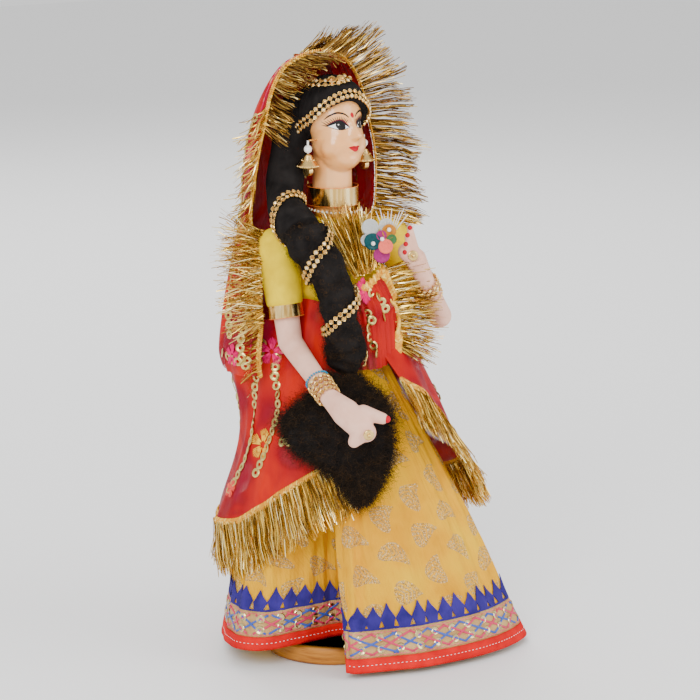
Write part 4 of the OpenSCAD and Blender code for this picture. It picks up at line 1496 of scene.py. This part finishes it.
# ---------- hair ----------
HAIR_C = np.array([0.0, 1.0, 328.0])
HAIR_R = 21.6
FALL = [
    (-8.4, 14.9, 336, 10), (-15.6, 15.7, 322, 12), (-20.4, 14.5, 306, 11.5),
    (-26.2, 11.6, 291, 11), (-31.7, 5.7, 281, 10.5), (-37.4, -2.5, 274, 11),
    (-40.4, -13.1, 268.5, 11.5), (-41.2, -21.5, 263, 12)]
PLAIT = [
    (-41, -23.5, 265, 12), (-41, -26.5, 259, 13), (-38, -30, 251, 12),
    (-34.5, -34.5, 243, 12.2), (-31, -37, 234, 10.4), (-29.5, -40, 224, 11.4),
    (-28.5, -41, 213, 9.6), (-25, -39.5, 204, 11), (-22.5, -38.5, 196, 12),
    (-23.5, -38, 188, 11), (-27, -38, 183, 7.5)]


def on_head(azimuth, elevation, radius):
    a, e = np.radians(azimuth), np.radians(elevation)
    return HAIR_C + np.stack([np.sin(a) * np.cos(e), -np.cos(a) * np.cos(e),
                              np.sin(e)], -1) * np.asarray(radius)[..., None]


def hairline(azimuth):
    """Lowest elevation of the hair: a peak over the brow, falling past the ears."""
    return 25 - np.where(azimuth < 0, 0.0068, 0.0115) * azimuth ** 2


def hair_cap():
    columns = 180
    azimuth = np.linspace(-180, 180, columns, endpoint=False)
    low = np.maximum(hairline(azimuth), -58)
    rows = [on_head(azimuth, low + 1, np.full(columns, 15.5))]
    parting = 1 - 0.035 * np.exp(-(azimuth / 9.0) ** 2)
    for t in np.linspace(0, 1, 46):
        e = low + (89 - low) * t
        lock = 0.16 * np.sin(azimuth * 0.75 + 5 * np.sin(np.radians(azimuth) * 2))
        radius = (HAIR_R + lock - 2.4 * (1 - min(1, t * 9)) ** 2) * parting
        rows.append(on_head(azimuth, e, radius))
    grid = np.array(rows)
    points = grid.reshape(-1, 3)
    n = len(points)
    faces = grid_faces(len(rows), columns, True) + [list(range(n - columns, n))]
    sew(piece("hair_cap_wool", points, faces, "wool"), "head", "hair_cap",
        slot="black_wool")


def hair_fall():
    """The mass of hair behind the ear, which runs down into the plait."""
    path = spline(FALL, 70)
    ridge = 1 + 0.035 * np.sin(np.linspace(0, 16, 70))
    points, faces = tube_mesh(path[:, :3], path[:, 3] * ridge, 44)
    obj = piece("hair_fall", points, faces, "wool")
    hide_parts("hair_back")
    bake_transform(obj)


def plait():
    """Two strands wound round each other, so that grooves cross the plait."""
    path = spline(PLAIT, 150)
    way = ways(path[:, :3])
    side = unit(np.cross(way, (0.3, 1.0, 0.2)))
    up = np.cross(way, side)
    a = once_round(48)[None, :, None]
    turn = np.linspace(0, 7.5 * math.pi, 150)[:, None, None]
    groove = 0.90 + 0.13 * np.abs(np.cos(a - turn))
    radius = path[:, 3][:, None, None] * groove
    grid = (path[:, None, :3]
            + radius * (np.cos(a) * side[:, None] + np.sin(a) * up[:, None]))
    faces = [f[::-1] for f in capped_faces(150, 48)]
    obj = piece("plait_wool", grid.reshape(-1, 3), faces, "wool")
    facing = obj.data.polygons[0].normal.dot(
        obj.data.polygons[0].center - Vector(path[0, :3]) * MM)
    if facing < 0:
        obj.data.flip_normals()
    sew(obj, "stand", "plait", slot="black_wool")
    fuzz(grid[::3, ::2].reshape(-1, 3), path[:, None, :3][::3]
         + np.zeros_like(grid[::3, ::2]), "plait_fuzz", 2.6, 151, 2)


def fuzz(points, middles, name, reach, seed, each):
    """Short wool fibres that stand off a surface."""
    middles = np.asarray(middles).reshape(-1, 3)
    out = unit(points - middles)
    rng = np.random.default_rng(seed)
    sets = []
    for _ in range(each):
        place = points + rng.normal(0, 0.7, points.shape)
        lean = unit(out + rng.normal(0, 0.7, points.shape))
        sets.append((place, lean, rng.normal(0, 1, points.shape),
                     rng.uniform(0.4, 1.0, len(points)) * reach * MM))
    spots = many(*sets)
    return sew(placed(name, "fibre", spots, "fibre", seed=seed), "stand")


TUFT = [(108, 16, 55, 3, 3), (114, 17, 56, 8, 5), (123, 15, 57, 16, 7.5),
        (134, 7, 57, 30, 9), (148, 3, 56, 37, 9.5), (160, 5, 55, 34, 8.5),
        (169, 7, 52, 22, 6.5), (178, 6, 49, 9, 5)]


def tuft():
    """The combed-out end of the plait: a dark core in a cloud of loose fibres."""
    rows = spline(TUFT, 60)
    a = once_round(72)[None, :]
    rng = np.random.default_rng(161)
    lump = 0.84 + 0.05 * np.sin(a * 3 + rows[:, :1] * 0.11) + 0.04 * np.sin(
        a * 7 - rows[:, :1] * 0.17)
    s = rows[:, 1:2] + rows[:, 3:4] * lump * np.cos(a)
    d = rows[:, 2:3] - rows[:, 4:5] * lump * np.sin(a)
    grid = s[..., None] * RIGHTWARD + d[..., None] * FORWARD
    grid[..., 2] = rows[:, :1] + 0 * a
    points = grid.reshape(-1, 3)
    obj = piece("tuft_core", points, capped_faces(60, 72), "wool")
    sew(obj, "stand", "plait_tuft", slot="black_wool")
    middle = rows[:, 1:2, None] * RIGHTWARD + rows[:, 2:3, None] * FORWARD
    middle = np.broadcast_to(middle, grid.shape).copy()
    middle[..., 2] = 146 + (rows[:, :1] - 146) * 0.75
    for k, reach in enumerate((8.5, 12.0, 7.0)):
        some = rng.permutation(len(points))[:2200]
        fuzz(points[some], middle.reshape(-1, 3)[some], f"tuft_fuzz_{k}", reach,
             162 + k, 2)


# ---------- head ----------
def head():
    """A moulded head and neck, smoothed as one, with its features pushed out."""
    parts = [ellipsoid((0, 1, 326), (17.2, 18.6, 17.4)),
             ellipsoid((0, -4.5, 315), (15.0, 15.8, 14.8)),
             ellipsoid((0, -3.5, 309.5), (14.6, 14.0, 13.2)),
             ellipsoid((0, -7.6, 303.6), (12.2, 12.2, 10.2)),
             ellipsoid((-6.4, -9.6, 309.5), (8.8, 8.8, 9.6)),
             ellipsoid((6.4, -9.6, 309.5), (8.8, 8.8, 9.6)),
             capsule((0, 0, 274), (0, 0, 306), 12.1, 11.4)]
    points, faces = joined(parts)
    obj = piece("painted_head", points, faces, "skin")
    settled(obj, ("REMESH", {"mode": "VOXEL", "voxel_size": 0.55 * MM}),
            ("SMOOTH", {"factor": 0.6, "iterations": 26}))
    shape_face(obj)
    coat(obj, "skin")
    obj.data.shade_smooth()
    sew(obj, "head", "head", "neck", slot="painted_face")
    return obj


def ellipsoid(centre, radii, rows=24, columns=40):
    e = np.linspace(-math.pi / 2 + 0.02, math.pi / 2 - 0.02, rows)[:, None]
    a = once_round(columns)[None, :]
    unit_ball = np.stack([np.cos(e) * np.cos(a), np.cos(e) * np.sin(a),
                          np.sin(e) + 0 * a], -1)
    points = (np.array(centre) + unit_ball * np.array(radii)).reshape(-1, 3)
    return points, capped_faces(rows, columns)


# Features: middle x and height, spread x and height, how far it stands out
FEATURES = [
    (0, 316.0, 1.9, 2.1, 4.4), (0, 319.5, 1.6, 2.8, 2.4), (0, 323.5, 1.7, 3.0, 1.2),
    (0, 308.6, 4.6, 3.2, 1.3),
    (-1.9, 315.2, 1.2, 1.3, 1.0), (1.9, 315.2, 1.2, 1.3, 1.0),
    (0, 309.6, 3.3, 0.95, 1.15), (0, 307.3, 2.7, 0.95, 1.25),
    (0, 308.45, 3.6, 0.38, -0.55), (0, 299.8, 4.4, 3.0, 0.9),
    (0, 304.2, 3.0, 1.1, -0.6), (-7.6, 321.4, 3.8, 2.6, -1.0),
    (7.6, 321.4, 3.8, 2.6, -1.0), (-7.6, 321.4, 3.0, 1.8, 0.8),
    (7.6, 321.4, 3.0, 1.8, 0.8), (-8.0, 326.2, 4.4, 1.5, 0.5),
    (8.0, 326.2, 4.4, 1.5, 0.5)]


def shape_face(obj):
    mesh = obj.data
    co = np.zeros(len(mesh.vertices) * 3, np.float32)
    mesh.vertices.foreach_get("co", co)
    co = co.reshape(-1, 3) / MM
    front = np.clip((-co[:, 1] - 6) / 6, 0, 1)
    push = np.zeros(len(co))
    for x, z, wide, tall, out in FEATURES:
        push += out * np.exp(-((co[:, 0] - x) / wide) ** 2 / 2
                             - ((co[:, 2] - z) / tall) ** 2 / 2)
    co[:, 1] -= push * front
    mesh.vertices.foreach_set("co", (co * MM).ravel())
    mesh.update()


def on_face(tree, flat, lift):
    """Lays flat points (x, height) on the front of the head."""
    found = []
    for x, z in flat:
        start = Vector((x * MM, -0.08, z * MM))
        hit, normal, _, _ = tree.ray_cast(start, Vector((0, 1, 0)))
        found.append((hit + normal * lift * MM) / MM)
    return np.array(found)


def painted(tree, parts, name, finish, lift):
    """Painted marks: each part is a strip of rows across, laid on the face."""
    made = []
    for rows in parts:
        rows = np.array(rows, float)
        m, k = rows.shape[:2]
        points = on_face(tree, rows.reshape(-1, 2), lift)
        made.append((points, grid_faces(m, k)))
    points, faces = joined(made)
    obj = piece(name, points, faces, finish)
    facing = sum(p.normal.y * p.area for p in obj.data.polygons)
    if facing > 0:
        obj.data.flip_normals()
    return sew(obj, "head")


def strip(line, widths):
    """Rows across a line of (x, height), as wide as widths says."""
    line = np.asarray(line, float)
    way = ways(line)
    side = np.stack([-way[:, 1], way[:, 0]], 1)
    half = np.asarray(widths, float)[:, None] / 2
    return [np.stack([line + side * half * s for s in (-1, -0.33, 0.33, 1)], 1)]


def disc(x, z, rx, rz, rows=5, sides=22):
    a = np.linspace(0, 2 * math.pi, sides + 1)
    return [np.array([[(x + rx * r * math.cos(t), z + rz * r * math.sin(t))
                       for t in a] for r in np.linspace(0.02, 1, rows)])]


EYE_X, EYE_Z = 7.2, 321.2


def eye_edge(side, t):
    """Upper and lower edge of an eye, t from the inner corner to the outer."""
    x = side * (EYE_X - 4.4 + 10.0 * t)
    top = EYE_Z - 0.5 + 3.0 * np.sin(math.pi * t ** 0.85) + 0.7 * t
    low = EYE_Z - 0.5 - 1.6 * np.sin(math.pi * t ** 1.0) + 0.7 * t
    return np.stack([x, top], -1), np.stack([x, low], -1)


def face_paint(skin):
    tree = BVHTree.FromPolygons([v.co for v in skin.data.vertices],
                                [tuple(p.vertices) for p in skin.data.polygons])
    t = np.linspace(0.01, 0.99, 26)
    whites, lines, blacks, lids, lashes, brows = [], [], [], [], [], []
    for side in (-1, 1):
        top, low = eye_edge(side, t)
        whites.append(np.stack([low + (top - low) * s
                                for s in (0, 0.25, 0.5, 0.75, 1)], 1))
        lines += strip(top, 0.6 + 0.95 * np.sin(math.pi * t))
        lines += strip(low, 0.18 + 0.22 * np.sin(math.pi * t))
        lids += strip(top + (0, 0.85), 0.15 + 1.15 * np.sin(math.pi * t))
        blacks += disc(side * (EYE_X - 0.2), EYE_Z + 0.45, 2.4, 2.45)
        corner = top[-1] + np.array([(0, 0), (side * 0.9, 0.15), (side * 1.9, 0.5)])
        lines += strip(corner, (0.7, 0.4, 0.05))
        for k in range(13):
            u = 0.12 + 0.86 * k / 12
            root = eye_edge(side, np.array([u]))[0][0] + (0, 1.1 - 0.7 * u)
            lean = np.array([side * (u - 0.42) * 2.1, 1.0])
            lean = lean / np.linalg.norm(lean)
            tip = root + lean * (2.2 + 0.9 * u)
            lashes += strip([root, (root + tip) / 2 + (0, 0.06), tip],
                            (0.5, 0.34, 0.08))
        arch = spline([(side * 2.4, 326.4), (side * 4.8, 328.4), (side * 8.6, 329.2),
                       (side * 12.2, 327.6), (side * 14.2, 325.2)], 30)
        brows += strip(arch, 0.16 + 0.86 * np.sin(math.pi * np.linspace(0.1, 1, 30)))
    painted(tree, whites, "eye_whites", "white_paint", 0.05)
    painted(tree, blacks, "eye_pupils", "black_paint", 0.10)
    glints = []
    for side in (-1, 1):
        glints += disc(side * EYE_X - 0.85, EYE_Z + 1.15, 0.38, 0.38, 3, 12)
    painted(tree, glints, "eye_glints", "white_paint", 0.15)
    painted(tree, lids, "eyelid_paint", "maroon_paint", 0.08)
    painted(tree, lines + lashes + brows, "lash_and_brow_paint", "black_paint", 0.13)
    painted(tree, disc(0, 327.6, 1.15, 1.5), "bindi", "red_paint", 0.16)
    lips(tree)


def lips(tree):
    """Two painted lips that meet in a line which rises at both ends."""
    t = np.linspace(0, 1, 24)
    x = -4.0 + 8.0 * t
    arch = np.sin(math.pi * t)
    middle = 308.45 + 0.75 * (2 * t - 1) ** 2
    bow = 1.65 * arch ** 0.8 - 0.42 * np.exp(-((t - 0.5) / 0.09) ** 2)
    upper = [np.stack([x, middle + bow * s], 1) for s in (0, 0.35, 0.7, 1)]
    lower = [np.stack([x, middle - 1.95 * arch * s], 1) for s in (0, 0.35, 0.7, 1)]
    painted(tree, [np.stack(upper, 1), np.stack(lower, 1)], "lip_paint", "red_paint",
            0.12)


# ---------- chains and jewellery ----------
def chain(name, line, out, body, rows=2, pitch=3.3, size=1.0, nodes=(), stone="stone",
          seed=1):
    """Stone cups side by side along a line, in one or more rows."""
    track = even(np.concatenate([line, out], 1), pitch)
    place, out = track[:, :3], unit(track[:, 3:])
    side = unit(np.cross(out, ways(place)))
    sets = []
    for k in range(rows):
        shift = (k - (rows - 1) / 2) * pitch
        sets.append(full(place + side * shift, out, ways(place)))
    spots = many(*sets)
    cups = sew(placed(f"{name}_cups", "cup", spots, "gold", size=size, lean=0.1,
                      seed=seed), body, *nodes, slot="stone_chain")
    stones = sew(placed(f"{name}_stones", "stone", spots, stone, size=size, lean=0.1,
                        seed=seed), body, slot="stone_chain")
    links = even(np.concatenate([line, track_out(line, out, place)], 1), pitch / 2)
    rails = []
    for k in range(rows):
        shift = (k - (rows - 1) / 2) * pitch
        way = ways(links[:, :3])
        s = unit(np.cross(unit(links[:, 3:]), way))
        rails.append(tube_mesh(links[:, :3] + s * shift + unit(links[:, 3:]) * 0.35,
                               0.28, 5))
    points, faces = joined(rails)
    wire = sew(piece(f"{name}_links", points, faces, "gold"), body,
               slot="stone_chain")
    return [cups, stones, wire]


def track_out(line, out, place):
    """Outward directions at every point of the line, from those at the cups."""
    far = np.linalg.norm(line[:, None] - place[None], axis=2)
    return out[far.argmin(1)]


def head_chains():
    """One chain along the hairline, one over the crown, and two large stones."""
    route = spline([(-128, -32), (-108, -25), (-90, -15), (-71, -3), (-48, 17),
                    (-25, 29), (-6, 33), (8, 31), (24, 23), (44, 8), (66, -10),
                    (86, -26)], 120)
    near = np.clip((-route[:, 0] - 70) / 50, 0, 1)
    line = on_head(route[:, 0], route[:, 1], HAIR_R + 0.4 + 3.2 * near)
    chain("forehead_chain", line, unit(line - HAIR_C), "head", 2, 3.25, 0.95,
          ("forehead_chain",), seed=171)
    a = np.linspace(-150, 70, 80)
    line = on_head(a, 60.0 + 8 * np.sin(np.radians(a)), np.full(80, HAIR_R + 0.3))
    chain("crown_chain", line, unit(line - HAIR_C), "head", 2, 3.4, 1.0,
          ("crown_chain",), seed=172)
    spots = on_head(np.array([-38.0, -14.0]), np.array([56.0, 58.0]),
                    np.full(2, HAIR_R + 1.2))
    out = unit(spots - HAIR_C)
    big = full(spots, out, (0.0, 0.0, 1.0))
    sew(placed("crown_cups", "cup", big, "gold", size=1.8, seed=173), "head")
    sew(placed("crown_stones", "stone", big, "stone", size=1.8, seed=173), "head")


def necklace():
    """A ring of stones on the collar, and a strand that hangs from it."""
    a = np.radians(np.linspace(0, 360, 100))
    ring = np.stack([16.2 * np.cos(a), 16.0 * np.sin(a) - 0.5,
                     271.2 + 1.5 * np.sin(a)], 1)
    out = unit(ring - (0, 0, 262.0))
    chain("necklace", ring, out, "stand", 1, 2.5, 0.72, ("necklace",), "crystal", 181)
    drop = spline([(14, -8, 270), (17, -16, 262), (16.5, -24, 252), (12, -32, 243)], 50)
    chain("necklace_drop", drop, np.broadcast_to(unit((0.3, -1, 0.2)), drop.shape),
          "stand", 1, 2.5, 0.66, (), "crystal", 182)


def plait_chain():
    """Winds down the hair from right to left across its front."""
    path = spline(FALL[4:] + PLAIT[1:-1], 500)
    far = np.linalg.norm(np.diff(path[:, :3], axis=0), axis=1)
    along = np.concatenate([[0], np.cumsum(far)])
    turn = (2 * math.pi * along / 37 - 0.9)[:, None]
    way = ways(path[:, :3])
    side = unit(RIGHTWARD - way * (way @ RIGHTWARD)[:, None])
    front = np.cross(side, way)
    front = front * np.sign((front @ FORWARD))[:, None]
    out = np.cos(turn) * side + np.sin(turn) * front
    line = path[:, :3] + out * (path[:, 3:] + 0.5)
    chain("plait_chain", line, out, "stand", 2, 3.3, 0.98, ("plait_chain",), seed=191)


def jewellery():
    """Finishes for the ear drops, bands, wires and rod, which keep their CAD shape."""
    for side in ("right", "left"):
        for part, finish in (("pearl", "pearl"), ("bell", "gold"), ("drum", "gold")):
            repaint(f"{side}_ear_{part}", finish)
        rim_beads(side)
        repaint(f"{side}_armband", "ribbon")
    repaint("ear_hooks", "gold")
    repaint("collar_band", "ribbon")
    for node in ("shoulder_wire", "right_arm_wire", "left_arm_wire"):
        repaint(node, "steel")
    repaint("dowel", "wood")
    repaint("skirt_core", "felt")


def rim_beads(side):
    """Fine beads round the bell's rim, and a second ring of beads on its shoulder."""
    low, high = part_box(f"{side}_ear_bell")
    middle = (np.array(low) + np.array(high)) / 2 / MM
    r = (high.x - low.x) / 2 / MM
    sets = []
    for radius, z, count in ((r, low.z / MM + 0.5, 26),
                             (r * 0.62, low.z / MM + 4.0, 16)):
        a = 2 * math.pi * np.arange(count) / count
        out = np.stack([np.cos(a), np.sin(a), 0 * a], 1)
        points = np.array([middle[0], middle[1], z]) + out * radius
        sets.append(full(points, out, (0.0, 0.0, 1.0)))
    sew(placed(f"{side}_bell_beads", "bead", many(*sets), "gold", size=0.5,
               seed=201), f"{side}_earring")


def ribbon_edges(name, start, way, low, high, radius, body):
    """The orange thread along both edges of a gold band."""
    way = unit(np.asarray(way, float))
    side = unit(np.cross(way, (0.31, 0.2, 0.9)))
    up = np.cross(way, side)
    sets = []
    for reach in (low, high):
        n = max(24, int(2 * math.pi * radius / 0.9))
        a = (2 * math.pi * np.arange(n) / n)[:, None]
        out = np.cos(a) * side + np.sin(a) * up
        points = np.asarray(start, float) + way * reach + out * radius
        sets.append(full(points, out, np.cross(way, out)))
    return sew(placed(name, "stitch", many(*sets), "orange_thread", size=0.75,
                      lean=0.3, seed=211), body)


# ---------- arms ----------
ARMS = {
    "right": {"shoulder": (-42.5, 0, 252), "elbow": (-41.5, -11, 197),
              "wrist": (-47, -53, 172)},
    "left": {"shoulder": (42.5, 0, 252), "elbow": (61, -28, 202),
             "wrist": (34.5, -44.5, 229)}}
SLEEVE_LEN = 33


def soft_union(name, parts, finish, voxel, rounds):
    """Stuffed cloth: parts grown together and smoothed."""
    points, faces = joined(parts)
    obj = piece(name, points, faces, finish)
    settled(obj, ("REMESH", {"mode": "VOXEL", "voxel_size": voxel * MM}),
            ("SMOOTH", {"factor": 0.5, "iterations": rounds}))
    coat(obj, finish)
    obj.data.shade_smooth()
    return obj


def arm(side):
    shoulder, elbow, wrist = (np.array(ARMS[side][k], float)
                              for k in ("shoulder", "elbow", "wrist"))
    down, out = unit(elbow - shoulder), unit(wrist - elbow)
    start = shoulder + down * 12
    parts = [capsule(start, elbow, 8.4, 7.3), capsule(elbow, wrist, 7.3, 5.3)]
    obj = soft_union(f"{side}_arm_cloth", parts, "pink", 0.8, 14)
    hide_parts(f"{side}_upper_arm", f"{side}_forearm")
    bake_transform(obj)
    sleeve(side, shoulder, down)
    ribbon_edges(f"{side}_armband_thread", shoulder, down, SLEEVE_LEN + 0.3,
                 SLEEVE_LEN + 8.3, 10.2, f"{side}_arm")
    bracelets(side, wrist, out)


def sleeve(side, shoulder, down):
    """A felt sleeve with a round shoulder, creased where the arm hangs."""
    across = unit(np.cross(down, (0.2, 1.0, 0.1)))
    up = np.cross(down, across)
    profile = [(-11.5, 0.3), (-11.2, 3.2), (-9.9, 6.2), (-7.0, 9.3), (-3.2, 11.1),
               (2, 11.7), (10, 11.7), (20, 11.3), (28, 10.9), (SLEEVE_LEN, 10.5),
               (SLEEVE_LEN, 9.4), (20, 9.6)]
    rows = spline(profile, 60)
    a = once_round(60)[None, :]
    crease = 0.28 * np.sin(rows[:, :1] * 0.7 + 1.5 * np.sin(a)) * np.exp(
        -((rows[:, :1] - 8) / 14) ** 2)
    radius = np.maximum(rows[:, 1:2] + crease, 0.2)
    grid = (shoulder + rows[:, :1, None] * down
            + radius[..., None] * (np.cos(a)[..., None] * across
                                   + np.sin(a)[..., None] * up))
    points = grid.reshape(-1, 3)
    faces = grid_faces(60, 60, True) + [list(range(60))[::-1]]
    obj = piece(f"{side}_sleeve_felt", points, faces, "felt")
    outward = sum((p.center / MM - Vector(shoulder + down * 12)).dot(p.normal)
                  for p in list(obj.data.polygons)[600:1800])
    if outward < 0:
        obj.data.flip_normals()
    sew(obj, f"{side}_arm", f"{side}_sleeve", slot="yellow_felt")


def bracelets(side, wrist, out):
    """Rows of stone cups round the wrist, and a string of blue beads."""
    across = unit(np.cross(out, (0.2, 0.3, 1.0)))
    up = np.cross(out, across)
    body = f"{side}_forearm"
    sets = []
    count = 15 if side == "right" else 13
    for k in range(4 if side == "right" else 3):
        reach = -1.5 - 3.3 * k
        a = (2 * math.pi * (np.arange(count) + 0.5 * (k % 2)) / count)[:, None]
        spoke = np.cos(a) * across + np.sin(a) * up
        sets.append(full(wrist + out * reach + spoke * (6.0 + 0.13 * k), spoke,
                         np.cross(out, spoke)))
    spots = many(*sets)
    sew(placed(f"{side}_bracelet_cups", "cup", spots, "gold", size=0.95, lean=0.12,
               seed=221), body, f"{side}_bracelets", slot="stone_chain")
    sew(placed(f"{side}_bracelet_stones", "stone", spots, "stone", size=0.95,
               lean=0.12, seed=221), body, slot="stone_chain")
    a = (2 * math.pi * np.arange(26) / 26)[:, None]
    spoke = np.cos(a) * across + np.sin(a) * up
    beads = full(wrist - out * 15.0 + spoke * 6.9, spoke, np.cross(out, spoke))
    finish = "bead_blue" if side == "right" else "gold"
    sew(placed(f"{side}_bracelet_beads", "bead", beads, finish, size=0.8, seed=222),
        body)


def right_hand():
    """A stuffed fist with one digit out, over a dark knot of hair."""
    wrist = np.array(ARMS["right"]["wrist"], float)
    parts = [capsule(wrist, (-44, -64, 164.5), 5.6, 8.2),
             capsule((-44, -64, 164.5), (-40.5, -71, 158), 8.2, 7.6),
             capsule((-37.5, -72, 165), (-30.6, -80.8, 162), 4.6, 3.4),
             capsule((-40.0, -72, 159), (-37.8, -75.0, 154), 6.2, 5.8)]
    for k in range(3):
        x = -38.6 - 2.0 * k
        parts.append(capsule((x, -76 + k, 158 - 1.6 * k),
                             (x - 1.0, -73 + k, 151 - 1.2 * k), 3.9, 3.6))
    obj = soft_union("right_hand_cloth", parts, "pink", 0.6, 9)
    sew(obj, "right_forearm", "right_hand", slot="pink_cloth")
    nail("right_nail", (-29.2, -83.2, 161.8), 2.1, "right_forearm")
    finger_ring("right", (-40.6, -80.3, 153.8), (-0.45, -0.85, -0.1))


def finger_ring(side, place, out):
    """A domed ring head with a bead in its middle."""
    points, faces = petal_disc(place, out, 3.1, 0.9, -0.3, 20)
    middle = np.asarray(place, float) + unit(out) * 1.2
    points, faces = joined([(points, faces), ellipsoid(middle, (1.2, 1.2, 1.2), 8, 14)])
    obj = piece(f"{side}_ring_head", points, faces, "gold")
    sew(obj, f"{side}_forearm", f"{side}_ring", slot="gilt_metal")


def nail(name, place, size, body):
    points, faces = ellipsoid(place, (size, size * 0.9, size), 10, 16)
    sew(piece(name, points, faces, "red_paint"), body)


def left_hand():
    wrist = np.array(ARMS["left"]["wrist"], float)
    palm = np.array((26, -44.5, 243.0))
    tips = [(21.0, -45.5, 262), (18.2, -46.5, 258), (16.4, -47, 253), (16.6, -46, 248)]
    parts = [capsule(wrist, palm, 5.2, 6.8), capsule(palm, (20, -44, 248), 6.4, 5.4)]
    for tip in tips:
        parts.append(capsule(palm, tip, 4.2, 1.9))
    obj = soft_union("left_hand_cloth", parts, "pink", 0.6, 9)
    sew(obj, "left_forearm", "left_hand", slot="pink_cloth")
    for k, tip in enumerate(tips):
        nail(f"left_nail_{k}", np.array(tip) + (-0.6, -0.8, 0.5), 1.5,
             "left_forearm")
    finger_ring("left", (19.6, -49.8, 246.5), (-0.45, -0.88, 0.1))


# ---------- bouquet ----------
def petal_disc(centre, out, radius, thick=0.5, cup=0.8, sides=28):
    """A cupped sequin disc: (points, faces)."""
    out = unit(np.asarray(out, float))
    across = unit(np.cross(out, (0.1, 0.2, 1.0)))
    up = np.cross(out, across)
    rows = [(0.02, thick), (0.45, thick + cup * 0.15), (0.8, thick + cup * 0.6),
            (1.0, thick + cup), (1.0, cup), (0.5, 0.0), (0.02, 0.0)]
    a = once_round(sides)[:, None]
    rings = [np.asarray(centre, float) + out * h
             + radius * r * (np.cos(a) * across + np.sin(a) * up) for r, h in rows]
    return np.concatenate(rings), [f[::-1] for f in capped_faces(len(rows), sides)]


def bouquet():
    """A posy of cupped discs, with three pearls among them, and stiff pale stalks."""
    middle = np.array((2.2, -40.5, 257.5))
    discs = [
        ("white", (-5.5, 0.5, 6.5), 5.0, "disc_white"),
        ("white_low", (-7.5, 0, -1.0), 3.6, "disc_white"),
        ("white_top", (3.5, 0.5, 7.5), 4.4, "disc_white"),
        ("teal", (-4.2, -1.6, -1.5), 5.0, "disc_teal"),
        ("amber", (5.0, -1.2, 4.5), 4.2, "disc_amber"),
        ("magenta", (0.8, -2.0, 2.2), 3.0, "disc_magenta"),
        ("green", (6.6, -1.6, -0.2), 3.0, "disc_green"),
        ("coral", (3.2, -2.6, -4.2), 4.3, "disc_coral"),
        ("maroon", (1.0, -0.6, -9.5), 4.8, "disc_magenta")]
    first = True
    for name, shift, radius, finish in discs:
        s, n, up = shift
        centre = middle + RIGHTWARD * s - FORWARD * n + UPWARD * up
        points, faces = petal_disc(centre, FORWARD + RIGHTWARD * 0.15 * s / 5, radius)
        obj = piece(f"bouquet_{name}", points, faces, finish)
        if sum((p.center / MM - Vector(centre)).dot(p.normal)
               for p in obj.data.polygons) < 0:
            obj.data.flip_normals()
        sew(obj, "left_forearm", *(("bouquet_discs", "bouquet_stem") if first else ()),
            slot="paillette")
        first = False
    pearls = []
    for s, n, up in ((-4.0, -3.6, -2.5), (5.2, -3.2, 5.6), (1.2, -4.0, 0.2)):
        pearls.append(ellipsoid(middle + RIGHTWARD * s - FORWARD * n + UPWARD * up,
                                (1.3, 1.3, 1.3), 10, 16))
    points, faces = joined(pearls)
    sew(piece("bouquet_pearls", points, faces, "pearl"), "left_forearm",
        slot="paillette")
    stalks = []
    for k in range(9):
        lean = -0.5 + 0.16 * k
        root = middle + RIGHTWARD * (2 + 0.9 * k) + UPWARD * 5
        tip = root + RIGHTWARD * lean * 9 + UPWARD * (11 + 2 * math.sin(k * 2.1))
        stalks.append(tube_mesh([root, (root + tip) / 2, tip], [0.35, 0.32, 0.2], 6))
    points, faces = joined(stalks)
    sew(piece("bouquet_stalks", points, faces, "white_thread"), "left_forearm",
        slot="paillette")


# ---------- the whole doll ----------
def floor():
    mesh = bpy.data.meshes.new("floor")
    half = FLOOR_HALF
    mesh.from_pydata([(-half, -half, 0), (half, -half, 0), (half, half, 0),
                      (-half, half, 0)], [], [(0, 1, 2, 3)])
    made, _, shader = material("pale_floor", roughness=0.9)
    shader.inputs["Base Color"].default_value = (0.92, 0.92, 0.92, 1)
    mesh.materials.append(made)
    linked("floor", mesh)


camera()
studio()
floor()
repaint("foot", "wood")
skirt()
repaint("waistband", "felt")
veil()
hood_fringe()
shoulder_burst()
bodice()
sash()
bib()
sash_tinsel()
hem_tinsel()
hair_cap()
hair_fall()
plait()
tuft()
face_paint(head())
head_chains()
necklace()
plait_chain()
jewellery()
ribbon_edges("collar_thread", (0, 0, SPLIT_Z), (0, 0, 1), 3.6, 14.4, 15.3, "stand")
arm("right")
arm("left")
right_hand()
left_hand()
bouquet()
